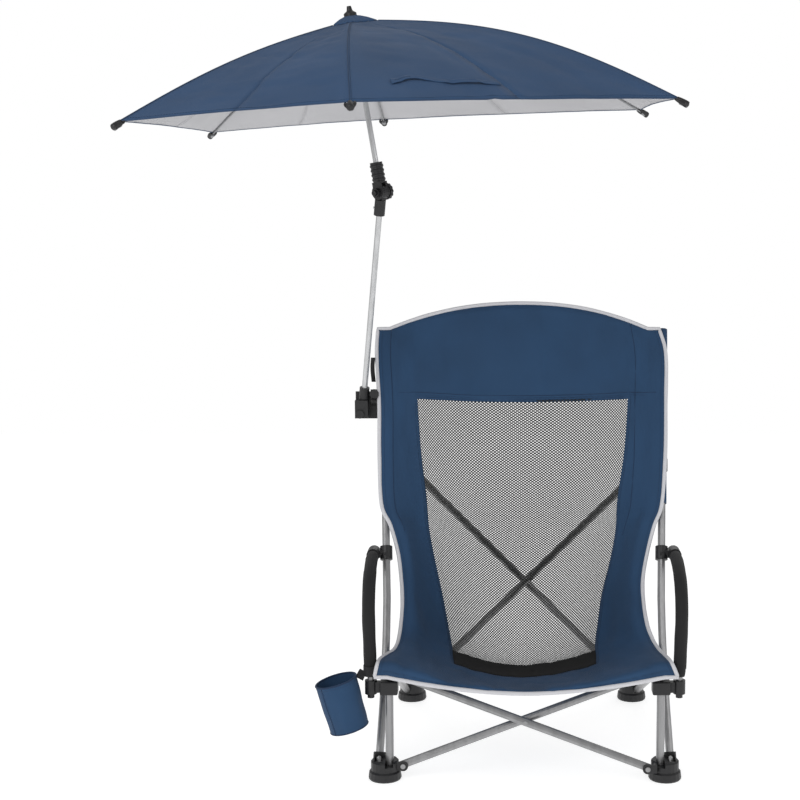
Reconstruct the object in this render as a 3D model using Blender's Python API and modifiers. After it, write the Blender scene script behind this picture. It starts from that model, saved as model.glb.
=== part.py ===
"""Low folding beach chair with a clamp-on tilting umbrella.

Units are metres. +Z is up, the sitter faces -Y, +X is to the right in a front view.
The origin of the design is on the floor, midway between the two front feet.
"""
import math

import bmesh
import bpy
from mathutils import Matrix, Vector

# Frame tubes
TUBE_RADIUS = 0.008
TUBE_WALL = 0.0012
ARM_TUBE_RADIUS = 0.0065
SLEEVE_RADIUS = 0.0122
RUN_GAP = 0.0003
CUT_OVERRUN = 0.002

# Feet
FRONT_FOOT_X = 0.274
REAR_FOOT_X = 0.2505
REAR_FOOT_Y = 0.490
FOOT_RADIUS = 0.0325
FOOT_SOLE_HEIGHT = 0.009
FOOT_BLOCK_RADIUS = 0.0275
FOOT_BLOCK_HEIGHT = 0.038
REAR_BLOCK_HEIGHT = 0.041
FOOT_ROUND = 0.003
SOCKET_FLOOR = 0.012
WINDOW_HEIGHT = 0.0095
WINDOW_SHARE = 0.92
PLATE_SHARE = 0.85
POST_BOSS_RADIUS = 0.0125

# Side frames
UPRIGHT_X = 0.2645
UPRIGHT_Y = -0.001
UPRIGHT_TOP = 0.188
POST_NODES = (
    (0.2870, 0.013, 0.020),
    (0.2815, 0.062, 0.130),
    (0.2790, 0.116, 0.240),
    (0.2795, 0.155, 0.320),
    (0.3030, 0.410, 0.850),
)
REAR_LEG_X = 0.262
REAR_LEG_TOP_Y = 0.022
REAR_LEG_TOP_Z = 0.212
REAR_LEG_FOOT_Z = 0.018

# Hub that joins upright, arm and rear leg
HUB_TOP = 0.198
HUB_HEIGHT = 0.027
HUB_HALF_WIDTH = 0.0175
HUB_HALF_DEPTH = 0.015
HUB_ARM_X = 0.300
HUB_ARM_RADIUS = 0.0118
HUB_STUB_RADIUS = 0.0068
HUB_STUB_LENGTH = 0.008
HUB_ROUND = 0.003
HUB_WEB_HALF_DEPTH = 0.007
HUB_LEG_SOCKET_RADIUS = 0.0115
HUB_LEG_SOCKET_WALL = 0.009
HUB_LEG_SOCKET_LENGTH = 0.036
HUB_RISER_HALF_WIDTH = 0.009
HUB_RISER_HALF_DEPTH = 0.0105

# Armrest
ARM_NODES = (
    (0.3000, 0.000, 0.176),
    (0.3000, 0.000, 0.206),
    (0.3010, 0.000, 0.260),
    (0.3025, 0.001, 0.310),
    (0.3035, 0.012, 0.345),
    (0.3045, 0.040, 0.378),
    (0.3060, 0.085, 0.396),
    (0.3080, 0.135, 0.403),
    (0.3090, 0.172, 0.405),
    (0.3090, 0.186, 0.405),
)
BRACKET_RADIUS = 0.0128
BRACKET_LENGTH = 0.028
BRACKET_CUP_RADIUS = 0.0135
BRACKET_CUP_FRONT = 0.174
BRACKET_CUP_LENGTH = 0.036
BRACKET_CUP_BORE = 0.0145
BRACKET_WEB_HALF_HEIGHT = 0.008
BRACKET_WEB_HALF_DEPTH = 0.010

# Front cross: two tubes pinned at the front feet and riveted where they cross
CROSS_PIVOT_X = 0.238
CROSS_PIVOT_Z = 0.028
CROSS_ANGLE = math.radians(21.0)
SEAT_CORNER_CLEARANCE = 0.0161
SEAT_CORNER_X = HUB_ARM_X - SLEEVE_RADIUS - SEAT_CORNER_CLEARANCE
CROSS_TUBE_LENGTH = (CROSS_PIVOT_X + SEAT_CORNER_X) / math.cos(CROSS_ANGLE)
CROSS_FRONT_Y = -0.0175
CROSS_REAR_Y = -0.001
CROSS_END_SPARE = 0.0095
CROSS_SWEEP_RADIUS = 0.0130
CROSS_CAP_RADIUS = 0.0105
CROSS_CAP_LENGTH = 0.016
CROSS_CAP_DEPTH = 0.010
EAR_RADIUS = 0.0100
EAR_THICKNESS = 0.0035
RIVET_RADIUS = 0.0028
RIVET_HEAD_RADIUS = 0.0050
RIVET_HEAD_HEIGHT = 0.0020

# Rear cross: two tubes pinned at the rear feet, upper ends on sliders
REAR_PIVOT_X = 0.220
REAR_PIVOT_Y = 0.480
REAR_PIVOT_Z = 0.056
REAR_CROSS_HALF_STEP = 0.0105
SLIDER_REST_Z = 0.575
SLIDER_TRAVEL = 0.118
SLIDER_RADIUS = 0.0118
SLIDER_LENGTH = 0.026
SLIDER_EAR_INBOARD = 0.036
SLIDER_EAR_BEHIND = 0.018
EAR_HALF_HEIGHT = 0.008
RIVET_SEAT_SHARE = 0.75

# Sling seat: centre line and edge (right side) from the top of the back to the hanging front lip
SLING_THICKNESS = 0.0024
SLING_CENTRE = (
    (0.402, 0.908), (0.375, 0.800), (0.345, 0.700), (0.322, 0.600), (0.325, 0.500),
    (0.345, 0.410), (0.356, 0.337), (0.352, 0.250), (0.337, 0.190), (0.297, 0.150),
    (0.240, 0.143), (0.170, 0.149), (0.100, 0.160), (0.035, 0.173), (-0.012, 0.184),
    (-0.029, 0.185), (-0.034, 0.177),
)
SLING_EDGE = (
    (0.3170, 0.400, 0.862), (0.3120, 0.370, 0.800), (0.3040, 0.322, 0.700), (0.3010, 0.274, 0.600),
    (0.2970, 0.227, 0.502), (0.2690, 0.209, 0.460), (0.2520, 0.200, 0.405), (0.2450, 0.190, 0.350),
    (0.2430, 0.170, 0.305), (0.2450, 0.140, 0.268), (0.2490, 0.115, 0.248), (0.2540, 0.090, 0.241),
    (0.2610, 0.060, 0.239), (0.2720, 0.030, 0.2395), (0.2820, -0.002, 0.2400),
    (0.2850, -0.029, 0.2370), (0.2900, -0.036, 0.2100),
)
SLING_WINDOW_SHARES = (
    0.735, 0.735, 0.735, 0.715, 0.69, 0.72, 0.72, 0.68, 0.643,
    0.60, 0.58, 0.558, 0.55, 0.55, 0.55, 0.55, 0.55,
)
SLING_HEM = 0.025
SLING_ROW_STEPS = 2
SLING_COLUMNS = 16
SLING_BACK_POWER = 2.2
SLING_SEAT_POWER = 1.8
SLING_BACK_ROWS = 18
MESH_FIRST_COLUMN = 2
MESH_FIRST_ROW = 4
MESH_LAST_ROW = 22
MESH_GAP = 0.0008
MESH_THICKNESS = 0.0012

# Cup holder: a fabric cup on a strap from the left hub
CUP_RADIUS = 0.042
CUP_HEIGHT = 0.098
CUP_WALL = 0.0022
CUP_LEAN = math.radians(15.0)
CUP_CENTRE_X = -0.354
CUP_CENTRE_Y = -0.012
CUP_CENTRE_Z = 0.153
STRAP_HEIGHT = 0.020
STRAP_WALL = 0.0022
STRAP_LOW_Z = 0.2075
TAB_HALF_DEPTH = 0.0035
TAB_HALF_HEIGHT = 0.0025
CUP_PIN_RADIUS = 0.0018
CUP_PIN_HALF = 0.0090
CUP_LUG_RADIUS = 0.0044
CUP_LUG_WIDTH = 0.0040
CUP_RIM_RADIUS = 0.0020
CUP_PIN_OUTSET = 0.0055
TAB_EYE_RADIUS = 0.0030

# Umbrella clamp on the left post
CLAMP_POST_Z = 0.711
CLAMP_BLOCK_HALF = 0.0124
CLAMP_BLOCK_HEIGHT = 0.028
CLAMP_SPLIT = 0.0008
CLAMP_FLANGE_REACH = 0.0275
SCREW_REACH = 0.0193
SCREW_RADIUS = 0.0030
KNOB_RADIUS = 0.0096
KNOB_DEPTH = 0.012
KNOB_LOBES = 10
KNOB_SWELL = 0.0008
CLAMP_JAW_TRAVEL = 0.0005
PLATE_LEFT_X = -0.358
PLATE_RIGHT_X = -0.3105
PLATE_FRONT_Y = 0.3505
PLATE_THICKNESS = 0.0055
PLATE_LOW_Z = 0.664
PLATE_HIGH_Z = 0.722
BOSS_X = -0.346
BOSS_Z = 0.677
BOSS_RADIUS = 0.0088
BOSS_FRONT_Y = 0.3150
HOLDER_RADIUS = 0.0105
HOLDER_BELOW = 0.010
HOLDER_ABOVE = 0.020
HOLDER_LEFT_X = -0.357
HOLDER_RIGHT_X = -0.3300
HOLDER_FRONT_Y = 0.320
HOLDER_BACK_Y = 0.344
HOLDER_LOW_Z = 0.668
HOLDER_HIGH_Z = 0.706

# Umbrella shafts and tilt knuckle
SHAFT_FOOT = Vector((-0.3385, 0.332, 0.714))
KNUCKLE = Vector((-0.2887, 0.220, 1.1418))
APEX = Vector((-0.3455, 0.205, 1.4915))
LOWER_SHAFT_RADIUS = 0.0060
UPPER_SHAFT_RADIUS = 0.0055
SHAFT_WALL = 0.0010
SOCKET_WALL_RADIUS = 0.0112
SOCKET_LOW = 0.048
SOCKET_HIGH = 0.0158
SOCKET_SEAT = 0.024
HEAD_RADIUS = 0.0125
HEAD_LOW = 0.0182
HEAD_HIGH = 0.060
HEAD_SEAT = 0.024
HEAD_RINGS = 4
HEAD_RING_RADIUS = 0.0138
HEAD_RING_HEIGHT = 0.003
HEAD_RING_SLOPE = 0.0015
EAR_DISC_RADIUS = 0.0150
TONGUE_HALF = 0.0058
EAR_DISC_WALL = 0.0050
BUTTON_EAR_WALL = 0.0120
BUTTON_EAR_RADIUS = 0.0088
BOLT_RADIUS = 0.0030
BOLT_BORE_DEPTH = 0.0030
TILT_KNOB_RADIUS = 0.0165
TILT_KNOB_DEPTH = 0.0075
TILT_KNOB_LOBES = 12
TILT_BUTTON_RADIUS = 0.0055
TILT_BUTTON_LENGTH = 0.0080
TILT_BUTTON_RECESS = 0.0070
TILT_BUTTON_TRAVEL = 0.003
LATCH_RADIUS = 0.0026
LATCH_HEAD_RADIUS = 0.0036
LATCH_HEAD_HEIGHT = 0.0012
LATCH_INNER = 0.0012
LATCH_OUTER = 0.0130
LATCH_DROP = 0.034

# Canopy frame: three pairs of ribs, mirrored about the canopy's long axis
RIB_NAMES = ("front_right", "front_middle", "front_left", "rear_left", "rear_middle", "rear_right")
LONG_RIB_REACH = 0.663
MIDDLE_RIB_REACH = 0.530
SHORT_RIB_REACH = 0.622
LONG_RIB_DROP = 0.287
MIDDLE_RIB_DROP = 0.206
SHORT_RIB_DROP = 0.172
LONG_RIB_AZIMUTH = math.radians(27.0)
MIDDLE_RIB_AZIMUTH = math.radians(89.5)
SHORT_RIB_AZIMUTH = math.radians(129.6)
CANOPY_TURN = math.radians(1.5)
RIB_RADIUS = 0.0022
LONG_RIB_ARCH = 0.047
MIDDLE_RIB_ARCH = 0.030
SHORT_RIB_ARCH = 0.018
RIB_STEPS = 6
RIB_TIP_RADIUS = 0.0058
RIB_TIP_LENGTH = 0.016
STRETCHER_RADIUS = 0.0017
STRETCHER_REACH = 0.117
STRETCHER_SIDE = 0.0044
HINGE_OFFSET = 0.0132
NOTCH_RADIUS = 0.0128
NOTCH_NECK_RADIUS = 0.0098
NOTCH_HEIGHT = 0.012
HINGE_CLEARANCE = 0.0004
NOTCH_DROP = 0.020
RUNNER_RADIUS = 0.0140
RUNNER_NECK_RADIUS = 0.0095
RUNNER_HEIGHT = 0.016
RUNNER_DROP = 0.124
RUNNER_SKIRT_RADIUS = 0.0090
RUNNER_SKIRT_HEIGHT = 0.018
FERRULE_RADIUS = 0.0060
FERRULE_TOP_RADIUS = 0.0042
FERRULE_HEIGHT = 0.014
FERRULE_SEAT = 0.005
CANOPY_THICKNESS = 0.0012
CANOPY_LIFT = 0.0038
CANOPY_COLLAR_RADIUS = 0.0138
CANOPY_COLLAR_DROP = 0.010
CANOPY_REACH_SHARE = 0.972
CANOPY_RINGS = 6
CANOPY_HUB_SHARE = 0.02
CANOPY_PANEL_STEPS = 5
RIM_SCALLOP_SHARE = 0.012

# Fineness of round shapes and the angles that shading and rounding start at
ROUND_SIDES = 20
SMALL_SIDES = 12
TUBE_STEPS = 4
THIN_STEPS = 2
WELD_SHARE = 0.001
AXIS_WELD = 0.00001
SMOOTH_ANGLE = math.radians(35.0)
EDGE_ANGLE = math.radians(40.0)

# Directions
UP = Vector((0.0, 0.0, 1.0))
BACK = Vector((0.0, 1.0, 0.0))
RIGHT = Vector((1.0, 0.0, 0.0))


def clear_scene():
    """Remove the objects that the start-up file holds."""
    for obj in list(bpy.data.objects):
        bpy.data.objects.remove(obj, do_unlink=True)


def new_collection(name):
    """Add a collection to the scene."""
    group = bpy.data.collections.new(name)
    bpy.context.scene.collection.children.link(group)
    return group


def principled(name, colour, roughness, metallic=0.0):
    """Material with the part's colour, roughness and metallic value."""
    material = bpy.data.materials.new(name)
    material.use_nodes = True
    shader = material.node_tree.nodes["Principled BSDF"]
    shader.inputs["Base Color"].default_value = (*colour, 1.0)
    shader.inputs["Roughness"].default_value = roughness
    shader.inputs["Metallic"].default_value = metallic
    material.diffuse_color = (*colour, 1.0)
    return material


def build_materials():
    """One material for each substance on the chair."""
    return {
        "steel": principled("steel", (0.42, 0.43, 0.43), 0.35, 0.8),
        "plastic": principled("plastic", (0.02, 0.02, 0.02), 0.5),
        "sleeve": principled("sleeve", (0.03, 0.03, 0.03), 0.85),
        "cloth": principled("cloth", (0.03, 0.09, 0.17), 0.8),
        "netting": principled("netting", (0.05, 0.05, 0.055), 0.9),
        "alloy": principled("alloy", (0.62, 0.63, 0.64), 0.3, 0.9),
        "rib": principled("rib", (0.2, 0.2, 0.21), 0.4, 0.5),
    }


def place(mesh, name, material, home):
    """Put a mesh in the scene as an object with its material, shaded smooth up to a set angle."""
    mesh.name = name
    mesh.materials.clear()
    mesh.materials.append(material)
    mesh.shade_smooth()
    mesh.set_sharp_from_angle(angle=SMOOTH_ANGLE)
    obj = bpy.data.objects.new(name, mesh)
    home.objects.link(obj)
    return obj


def frame_from_axis(origin, axis, side_hint=RIGHT):
    """Matrix whose Z runs along axis and whose X leans towards side_hint."""
    z_axis = axis.normalized()
    y_axis = z_axis.cross(side_hint).normalized()
    x_axis = y_axis.cross(z_axis)
    turn = Matrix((x_axis, y_axis, z_axis)).transposed().to_4x4()
    return Matrix.Translation(origin) @ turn


def cylinder_mesh(start, end, radius, sides=ROUND_SIDES, end_radius=None):
    """Closed cylinder or cone between two points."""
    bm = bmesh.new()
    along = end - start
    length = along.length
    hint = BACK if abs(along.dot(RIGHT)) > abs(along.dot(BACK)) else RIGHT
    at = frame_from_axis((start + end) / 2, along, hint)
    top = radius if end_radius is None else end_radius
    bmesh.ops.create_cone(
        bm, cap_ends=True, segments=sides, radius1=radius, radius2=top, depth=length, matrix=at
    )
    mesh = bpy.data.meshes.new("cylinder")
    bm.to_mesh(mesh)
    bm.free()
    return mesh


def box_mesh(half, at):
    """Closed box of three half sizes, in the frame of a matrix."""
    bm = bmesh.new()
    bmesh.ops.create_cube(bm, size=2.0)
    bmesh.ops.scale(bm, vec=half, verts=bm.verts)
    bmesh.ops.transform(bm, matrix=at, verts=bm.verts)
    mesh = bpy.data.meshes.new("box")
    bm.to_mesh(mesh)
    bm.free()
    return mesh


def path_mesh(points, radius, level=TUBE_STEPS, capped=True, radii=None):
    """Mesh of a round bar or an open tube skin along points, read from a bevelled curve."""
    curve = bpy.data.curves.new("path", "CURVE")
    curve.dimensions = "3D"
    curve.bevel_depth = radius
    curve.bevel_resolution = level
    curve.use_fill_caps = capped
    spline = curve.splines.new("POLY")
    spline.points.add(len(points) - 1)
    for index, point in enumerate(points):
        spline.points[index].co = (*point, 1.0)
        spline.points[index].radius = 1.0 if radii is None else radii[index] / radius
    holder = bpy.data.objects.new("path", curve)
    bpy.context.scene.collection.objects.link(holder)
    graph = bpy.context.evaluated_depsgraph_get()
    mesh = bpy.data.meshes.new_from_object(holder.evaluated_get(graph))
    bpy.data.objects.remove(holder)
    bpy.data.curves.remove(curve)
    bm = bmesh.new()
    bm.from_mesh(mesh)
    bmesh.ops.remove_doubles(bm, verts=bm.verts, dist=radius * WELD_SHARE)
    bmesh.ops.recalc_face_normals(bm, faces=bm.faces)
    bm.to_mesh(mesh)
    bm.free()
    return mesh


def bar(name, points, radius, material, home, level=TUBE_STEPS, radii=None):
    """Solid round bar along points."""
    return place(path_mesh(points, radius, level, True, radii), name, material, home)


def tube(name, points, radius, wall, material, home, level=TUBE_STEPS):
    """Hollow tube, open at both ends, along points."""
    obj = place(path_mesh(points, radius, level, False), name, material, home)
    shell = obj.modifiers.new("wall", "SOLIDIFY")
    shell.thickness = wall
    shell.offset = -1.0
    return obj


def turned(name, profile, at, material, home, steps=ROUND_SIDES):
    """Solid of revolution about the Z of a matrix; the profile runs down its outer side."""
    bm = bmesh.new()
    points = [bm.verts.new((radius, 0.0, height)) for radius, height in profile]
    for above, below in zip(points, points[1:]):
        bm.edges.new((above, below))
    mesh = bpy.data.meshes.new(name)
    bm.to_mesh(mesh)
    bm.free()
    obj = place(mesh, name, material, home)
    spin = obj.modifiers.new("turn", "SCREW")
    spin.steps = steps
    spin.render_steps = steps
    spin.use_merge_vertices = True
    spin.merge_threshold = AXIS_WELD
    spin.use_smooth_shade = True
    obj.matrix_world = at
    return obj


def soften(obj, width, segments=2):
    """Round the hard edges of an object."""
    edge = obj.modifiers.new("round", "BEVEL")
    edge.width = width
    edge.segments = segments
    edge.limit_method = "ANGLE"
    edge.angle_limit = EDGE_ANGLE


class Bench:
    """Holds the collections and the boolean tools that the pieces are worked with."""

    def __init__(self, materials):
        self.parts = new_collection("beach_chair")
        self.tools = new_collection("cutters")
        self.materials = materials
        self.count = 0

    def tool(self, mesh, name):
        """Hidden object that cuts or joins another."""
        self.count += 1
        obj = bpy.data.objects.new(f"{name}_{self.count}", mesh)
        self.tools.objects.link(obj)
        obj.hide_render = True
        obj.display_type = "WIRE"
        return obj

    def cut(self, obj, mesh):
        """Take a shape away from an object."""
        self.work(obj, mesh, "DIFFERENCE", "cutter")

    def join(self, obj, mesh):
        """Add a shape to an object as one body."""
        self.work(obj, mesh, "UNION", "boss")

    def work(self, obj, mesh, operation, name):
        """Give an object one boolean step with a hidden tool."""
        step = obj.modifiers.new(name, "BOOLEAN")
        step.operation = operation
        step.solver = "EXACT"
        step.object = self.tool(mesh, name)


def mirrored(side, point):
    """Point given for the right side (+1), moved to the left side for -1."""
    return Vector((side * point[0], point[1], point[2]))


def side_name(side):
    """Word for a side in a node's name."""
    return "left" if side < 0 else "right"


def smooth_points(nodes, steps):
    """Points on a smooth curve through nodes, by Catmull-Rom pieces."""
    points = []
    ends = [nodes[0] * 2 - nodes[1], *nodes, nodes[-1] * 2 - nodes[-2]]
    for first, second, third, fourth in zip(ends, ends[1:], ends[2:], ends[3:]):
        for step in range(steps):
            t = step / steps
            bend = second * 2 + (third - first) * t
            bend += (first * 2 - second * 5 + third * 4 - fourth) * t ** 2
            bend += (second * 3 - first - third * 3 + fourth) * t ** 3
            points.append(bend / 2)
    points.append(nodes[-1].copy())
    return points


def post_line(side):
    """Last bend and top of a back post; the post is straight between them."""
    return mirrored(side, POST_NODES[-2]), mirrored(side, POST_NODES[-1])


def post_direction(side):
    """Direction up the straight run of a back post."""
    bend, top = post_line(side)
    return (top - bend).normalized()


def post_at(side, height):
    """Point on the straight run of a back post at a height."""
    bend, top = post_line(side)
    return bend + (top - bend) * ((height - bend.z) / (top.z - bend.z))


def rear_leg_ends(side):
    """Lower and upper end of a rear leg's centre line."""
    foot = mirrored(side, (REAR_LEG_X, REAR_FOOT_Y, REAR_LEG_FOOT_Z))
    top = mirrored(side, (REAR_LEG_X, REAR_LEG_TOP_Y, REAR_LEG_TOP_Z))
    return foot, top


def arm_points(side):
    """Centre line of an arm tube, from the hub to the bracket on the post."""
    nodes = [mirrored(side, node) for node in ARM_NODES]
    return [nodes[0], *smooth_points(nodes[1:-1], 2), nodes[-1]]


def front_pivot(side):
    """Pivot of a front cross tube in its front foot."""
    plane = CROSS_REAR_Y if side < 0 else CROSS_FRONT_Y
    return mirrored(side, (CROSS_PIVOT_X, plane, CROSS_PIVOT_Z))


def front_direction(side):
    """Direction up a front cross tube."""
    return mirrored(-side, (math.cos(CROSS_ANGLE), 0.0, math.sin(CROSS_ANGLE)))


def rear_lean():
    """Direction from the lower to the upper pivot of the left rear cross tube, before its side step."""
    low = mirrored(-1, (REAR_PIVOT_X, REAR_PIVOT_Y, REAR_PIVOT_Z))
    high = post_at(1, SLIDER_REST_Z)
    high += Vector((-SLIDER_EAR_INBOARD, SLIDER_EAR_BEHIND, 0.0))
    return high - low


def rear_step():
    """Direction that parts the two rear cross tubes where they cross."""
    lean = rear_lean()
    return Vector((0.0, lean.z, -lean.y)).normalized()


def rear_ends(side):
    """Lower and upper pivot of the rear cross tube that stands in a side's rear foot."""
    low = mirrored(side, (REAR_PIVOT_X, REAR_PIVOT_Y, REAR_PIVOT_Z))
    lean = rear_lean()
    step = rear_step() * (REAR_CROSS_HALF_STEP * side)
    high = low + Vector((-side * lean.x, lean.y, lean.z))
    return low + step, high + step


def rear_axis(side):
    """Pin axis of a rear cross tube, pointing backwards; it turns the tube up as the chair folds."""
    lean = rear_lean()
    folded = lean_when_folded()
    axis = folded.cross(lean).normalized()
    axis = Vector((-side * axis.x, axis.y, axis.z))
    return axis if axis.y > 0 else -axis


def lean_when_folded():
    """The left rear cross tube's direction once the chair has folded as far as the clamp allows."""
    lean = rear_lean()
    climb = Vector(post_direction(1)) * SLIDER_TRAVEL
    rise = lean + climb
    width = math.sqrt(lean.length_squared - rise.y ** 2 - rise.z ** 2)
    return Vector((width, rise.y, rise.z))


def foot_profile(block_height):
    """Foot from its axis over the block, down the skirt and back under the sole."""
    skirt_top = FOOT_SOLE_HEIGHT * 2
    return [
        (0.0, block_height),
        (FOOT_BLOCK_RADIUS - FOOT_ROUND, block_height),
        (FOOT_BLOCK_RADIUS, block_height - FOOT_ROUND),
        (FOOT_BLOCK_RADIUS, skirt_top),
        (FOOT_RADIUS - FOOT_ROUND / 2, skirt_top - FOOT_ROUND),
        (FOOT_RADIUS, FOOT_ROUND),
        (FOOT_RADIUS - FOOT_ROUND / 2, 0.0),
        (0.0, 0.0),
    ]


def socket(bench, obj, start, direction, length, radius):
    """Cut a round socket from a point along a direction."""
    bench.cut(obj, cylinder_mesh(start, start + direction * length, radius))


def build_front_foot(bench, side):
    """Front foot: two sockets with a low front wall and an ear for the front cross tube."""
    centre = Matrix.Translation(mirrored(side, (FRONT_FOOT_X, 0.0, 0.0)))
    foot = turned(
        f"front_foot_{side_name(side)}", foot_profile(FOOT_BLOCK_HEIGHT), centre,
        bench.materials["plastic"], bench.parts,
    )
    clear = TUBE_RADIUS + RUN_GAP
    post_seat = mirrored(side, POST_NODES[0])
    lean = (mirrored(side, POST_NODES[1]) - post_seat).normalized()
    boss_end = post_seat + lean * (FOOT_BLOCK_HEIGHT - SOCKET_FLOOR)
    bench.join(foot, cylinder_mesh(post_seat, boss_end, POST_BOSS_RADIUS))
    pivot = front_pivot(side)
    near = pivot - BACK * (TUBE_RADIUS + RUN_GAP)
    far = near - BACK * EAR_THICKNESS
    bench.join(foot, cylinder_mesh(near, far, EAR_RADIUS))
    root = UPRIGHT_X - clear - CROSS_PIVOT_X
    plate = Vector((side * root / 2, 0.0, 0.0))
    bench.join(foot, box_mesh(
        (root / 2, EAR_THICKNESS / 2, EAR_RADIUS * PLATE_SHARE),
        Matrix.Translation((near + far) / 2 + plate),
    ))
    lug_half = (root - CROSS_SWEEP_RADIUS) / 2
    lug_depth = FOOT_BLOCK_RADIUS / 4
    bench.join(foot, box_mesh(
        (lug_half, lug_depth, EAR_RADIUS * PLATE_SHARE),
        Matrix.Translation(far + Vector((side * (root - lug_half), lug_depth, 0.0))),
    ))
    socket(bench, foot, mirrored(side, (UPRIGHT_X, UPRIGHT_Y, SOCKET_FLOOR)), UP, FOOT_BLOCK_HEIGHT, clear)
    socket(bench, foot, post_seat - lean * RUN_GAP, lean, FOOT_BLOCK_HEIGHT * 2, clear)
    half = FOOT_BLOCK_RADIUS / 2
    for seat_x, seat_y in ((UPRIGHT_X, UPRIGHT_Y), (POST_NODES[0][0], POST_NODES[0][1])):
        top = mirrored(side, (seat_x, seat_y - half, FOOT_BLOCK_HEIGHT))
        bench.cut(foot, box_mesh((clear * WINDOW_SHARE, half, WINDOW_HEIGHT), Matrix.Translation(top)))
    bench.cut(foot, cylinder_mesh(near, pivot + BACK * clear, CROSS_SWEEP_RADIUS))
    bench.cut(foot, cylinder_mesh(far - BACK * CUT_OVERRUN, pivot, RIVET_RADIUS + RUN_GAP, SMALL_SIDES))


def build_rear_foot(bench, side):
    """Rear foot: a slanted socket for the rear leg and an ear for the rear cross tube."""
    middle = mirrored(side, (REAR_FOOT_X, REAR_FOOT_Y, 0.0))
    foot = turned(
        f"rear_foot_{side_name(side)}", foot_profile(REAR_BLOCK_HEIGHT), Matrix.Translation(middle),
        bench.materials["plastic"], bench.parts,
    )
    low, high = rear_ends(side)
    root = middle + UP * (REAR_BLOCK_HEIGHT - EAR_HALF_HEIGHT)
    add_ear(bench, foot, low, root, side, True)
    leg_low, leg_high = rear_leg_ends(side)
    lean = (leg_high - leg_low).normalized()
    socket(bench, foot, leg_low - lean * RUN_GAP, lean, FOOT_RADIUS * 4, TUBE_RADIUS + RUN_GAP)


def add_ear(bench, obj, pivot, root, side, pinned):
    """Ear behind the end of a rear cross tube, with a neck to its carrier."""
    axis = rear_axis(side)
    near = pivot + axis * (TUBE_RADIUS + RUN_GAP)
    far = near + axis * EAR_THICKNESS
    bench.join(obj, cylinder_mesh(near, far, EAR_RADIUS))
    reach = root - pivot
    neck = reach - axis * reach.dot(axis)
    at = frame_from_axis((near + far) / 2 + neck / 2, axis, neck.normalized())
    bench.join(obj, box_mesh((neck.length / 2, EAR_HALF_HEIGHT, EAR_THICKNESS / 2), at))
    bench.join(obj, cylinder_mesh(far + neck, root, EAR_HALF_HEIGHT))
    if pinned:
        bench.cut(obj, cylinder_mesh(pivot, far + axis * CUT_OVERRUN, RIVET_RADIUS + RUN_GAP, SMALL_SIDES))


def build_upright(bench, side):
    """Short front upright between foot and hub."""
    low = mirrored(side, (UPRIGHT_X, UPRIGHT_Y, SOCKET_FLOOR + RUN_GAP))
    high = mirrored(side, (UPRIGHT_X, UPRIGHT_Y, UPRIGHT_TOP))
    tube(
        f"upright_{side_name(side)}", [low, high], TUBE_RADIUS, TUBE_WALL,
        bench.materials["steel"], bench.parts,
    )


def build_post(bench, side):
    """Back post from the front foot to the top corner of the sling."""
    nodes = [mirrored(side, node) for node in POST_NODES]
    points = [nodes[0], *smooth_points(nodes[1:-1], 3), nodes[-1]]
    tube(
        f"back_post_{side_name(side)}", points, TUBE_RADIUS, TUBE_WALL,
        bench.materials["steel"], bench.parts,
    )


def build_rear_leg(bench, side):
    """Rear leg from the rear foot forward and up to the hub."""
    tube(
        f"rear_leg_{side_name(side)}", list(rear_leg_ends(side)), TUBE_RADIUS, TUBE_WALL,
        bench.materials["steel"], bench.parts,
    )


def build_hub(bench, side):
    """Hub that holds the upright's top, the arm tube's foot and the rear leg's front end."""
    plastic = bench.materials["plastic"]
    middle = HUB_TOP - HUB_HEIGHT / 2
    block = box_mesh(
        (HUB_HALF_WIDTH, HUB_HALF_DEPTH, HUB_HEIGHT / 2),
        Matrix.Translation(mirrored(side, (UPRIGHT_X, UPRIGHT_Y, middle))),
    )
    hub = place(block, f"side_hub_{side_name(side)}", plastic, bench.parts)
    soften(hub, HUB_ROUND)
    arm_low = mirrored(side, (HUB_ARM_X, 0.0, HUB_TOP - HUB_HEIGHT))
    bench.join(hub, cylinder_mesh(arm_low, arm_low + UP * HUB_HEIGHT, HUB_ARM_RADIUS))
    stub_low = arm_low - UP * HUB_STUB_LENGTH
    bench.join(hub, cylinder_mesh(stub_low, arm_low + UP * HUB_HEIGHT / 4, HUB_STUB_RADIUS))
    web_half = (HUB_ARM_X - UPRIGHT_X) / 2
    bench.join(hub, box_mesh(
        (web_half, HUB_WEB_HALF_DEPTH, HUB_HEIGHT / 2 - HUB_ROUND),
        Matrix.Translation(mirrored(side, (UPRIGHT_X + web_half, 0.0, middle))),
    ))
    low, high = rear_leg_ends(side)
    lean = (high - low).normalized()
    front = high + lean * HUB_LEG_SOCKET_WALL
    bench.join(hub, cylinder_mesh(front, front - lean * HUB_LEG_SOCKET_LENGTH, HUB_LEG_SOCKET_RADIUS))
    riser_half = (REAR_LEG_TOP_Z - HUB_TOP + HUB_HEIGHT) / 2
    bench.join(hub, box_mesh(
        (HUB_RISER_HALF_WIDTH, HUB_RISER_HALF_DEPTH, riser_half),
        Matrix.Translation(mirrored(side, (REAR_LEG_X, REAR_LEG_TOP_Y, REAR_LEG_TOP_Z - riser_half))),
    ))
    clear = TUBE_RADIUS + RUN_GAP
    socket(bench, hub, mirrored(side, (UPRIGHT_X, UPRIGHT_Y, UPRIGHT_TOP + RUN_GAP)), -UP, HUB_HEIGHT, clear)
    arm_seat = mirrored(side, ARM_NODES[0])
    socket(bench, hub, arm_seat - UP * RUN_GAP, UP, HUB_HEIGHT, ARM_TUBE_RADIUS + RUN_GAP)
    socket(bench, hub, high + lean * RUN_GAP, -lean, HUB_LEG_SOCKET_LENGTH, clear)


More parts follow.
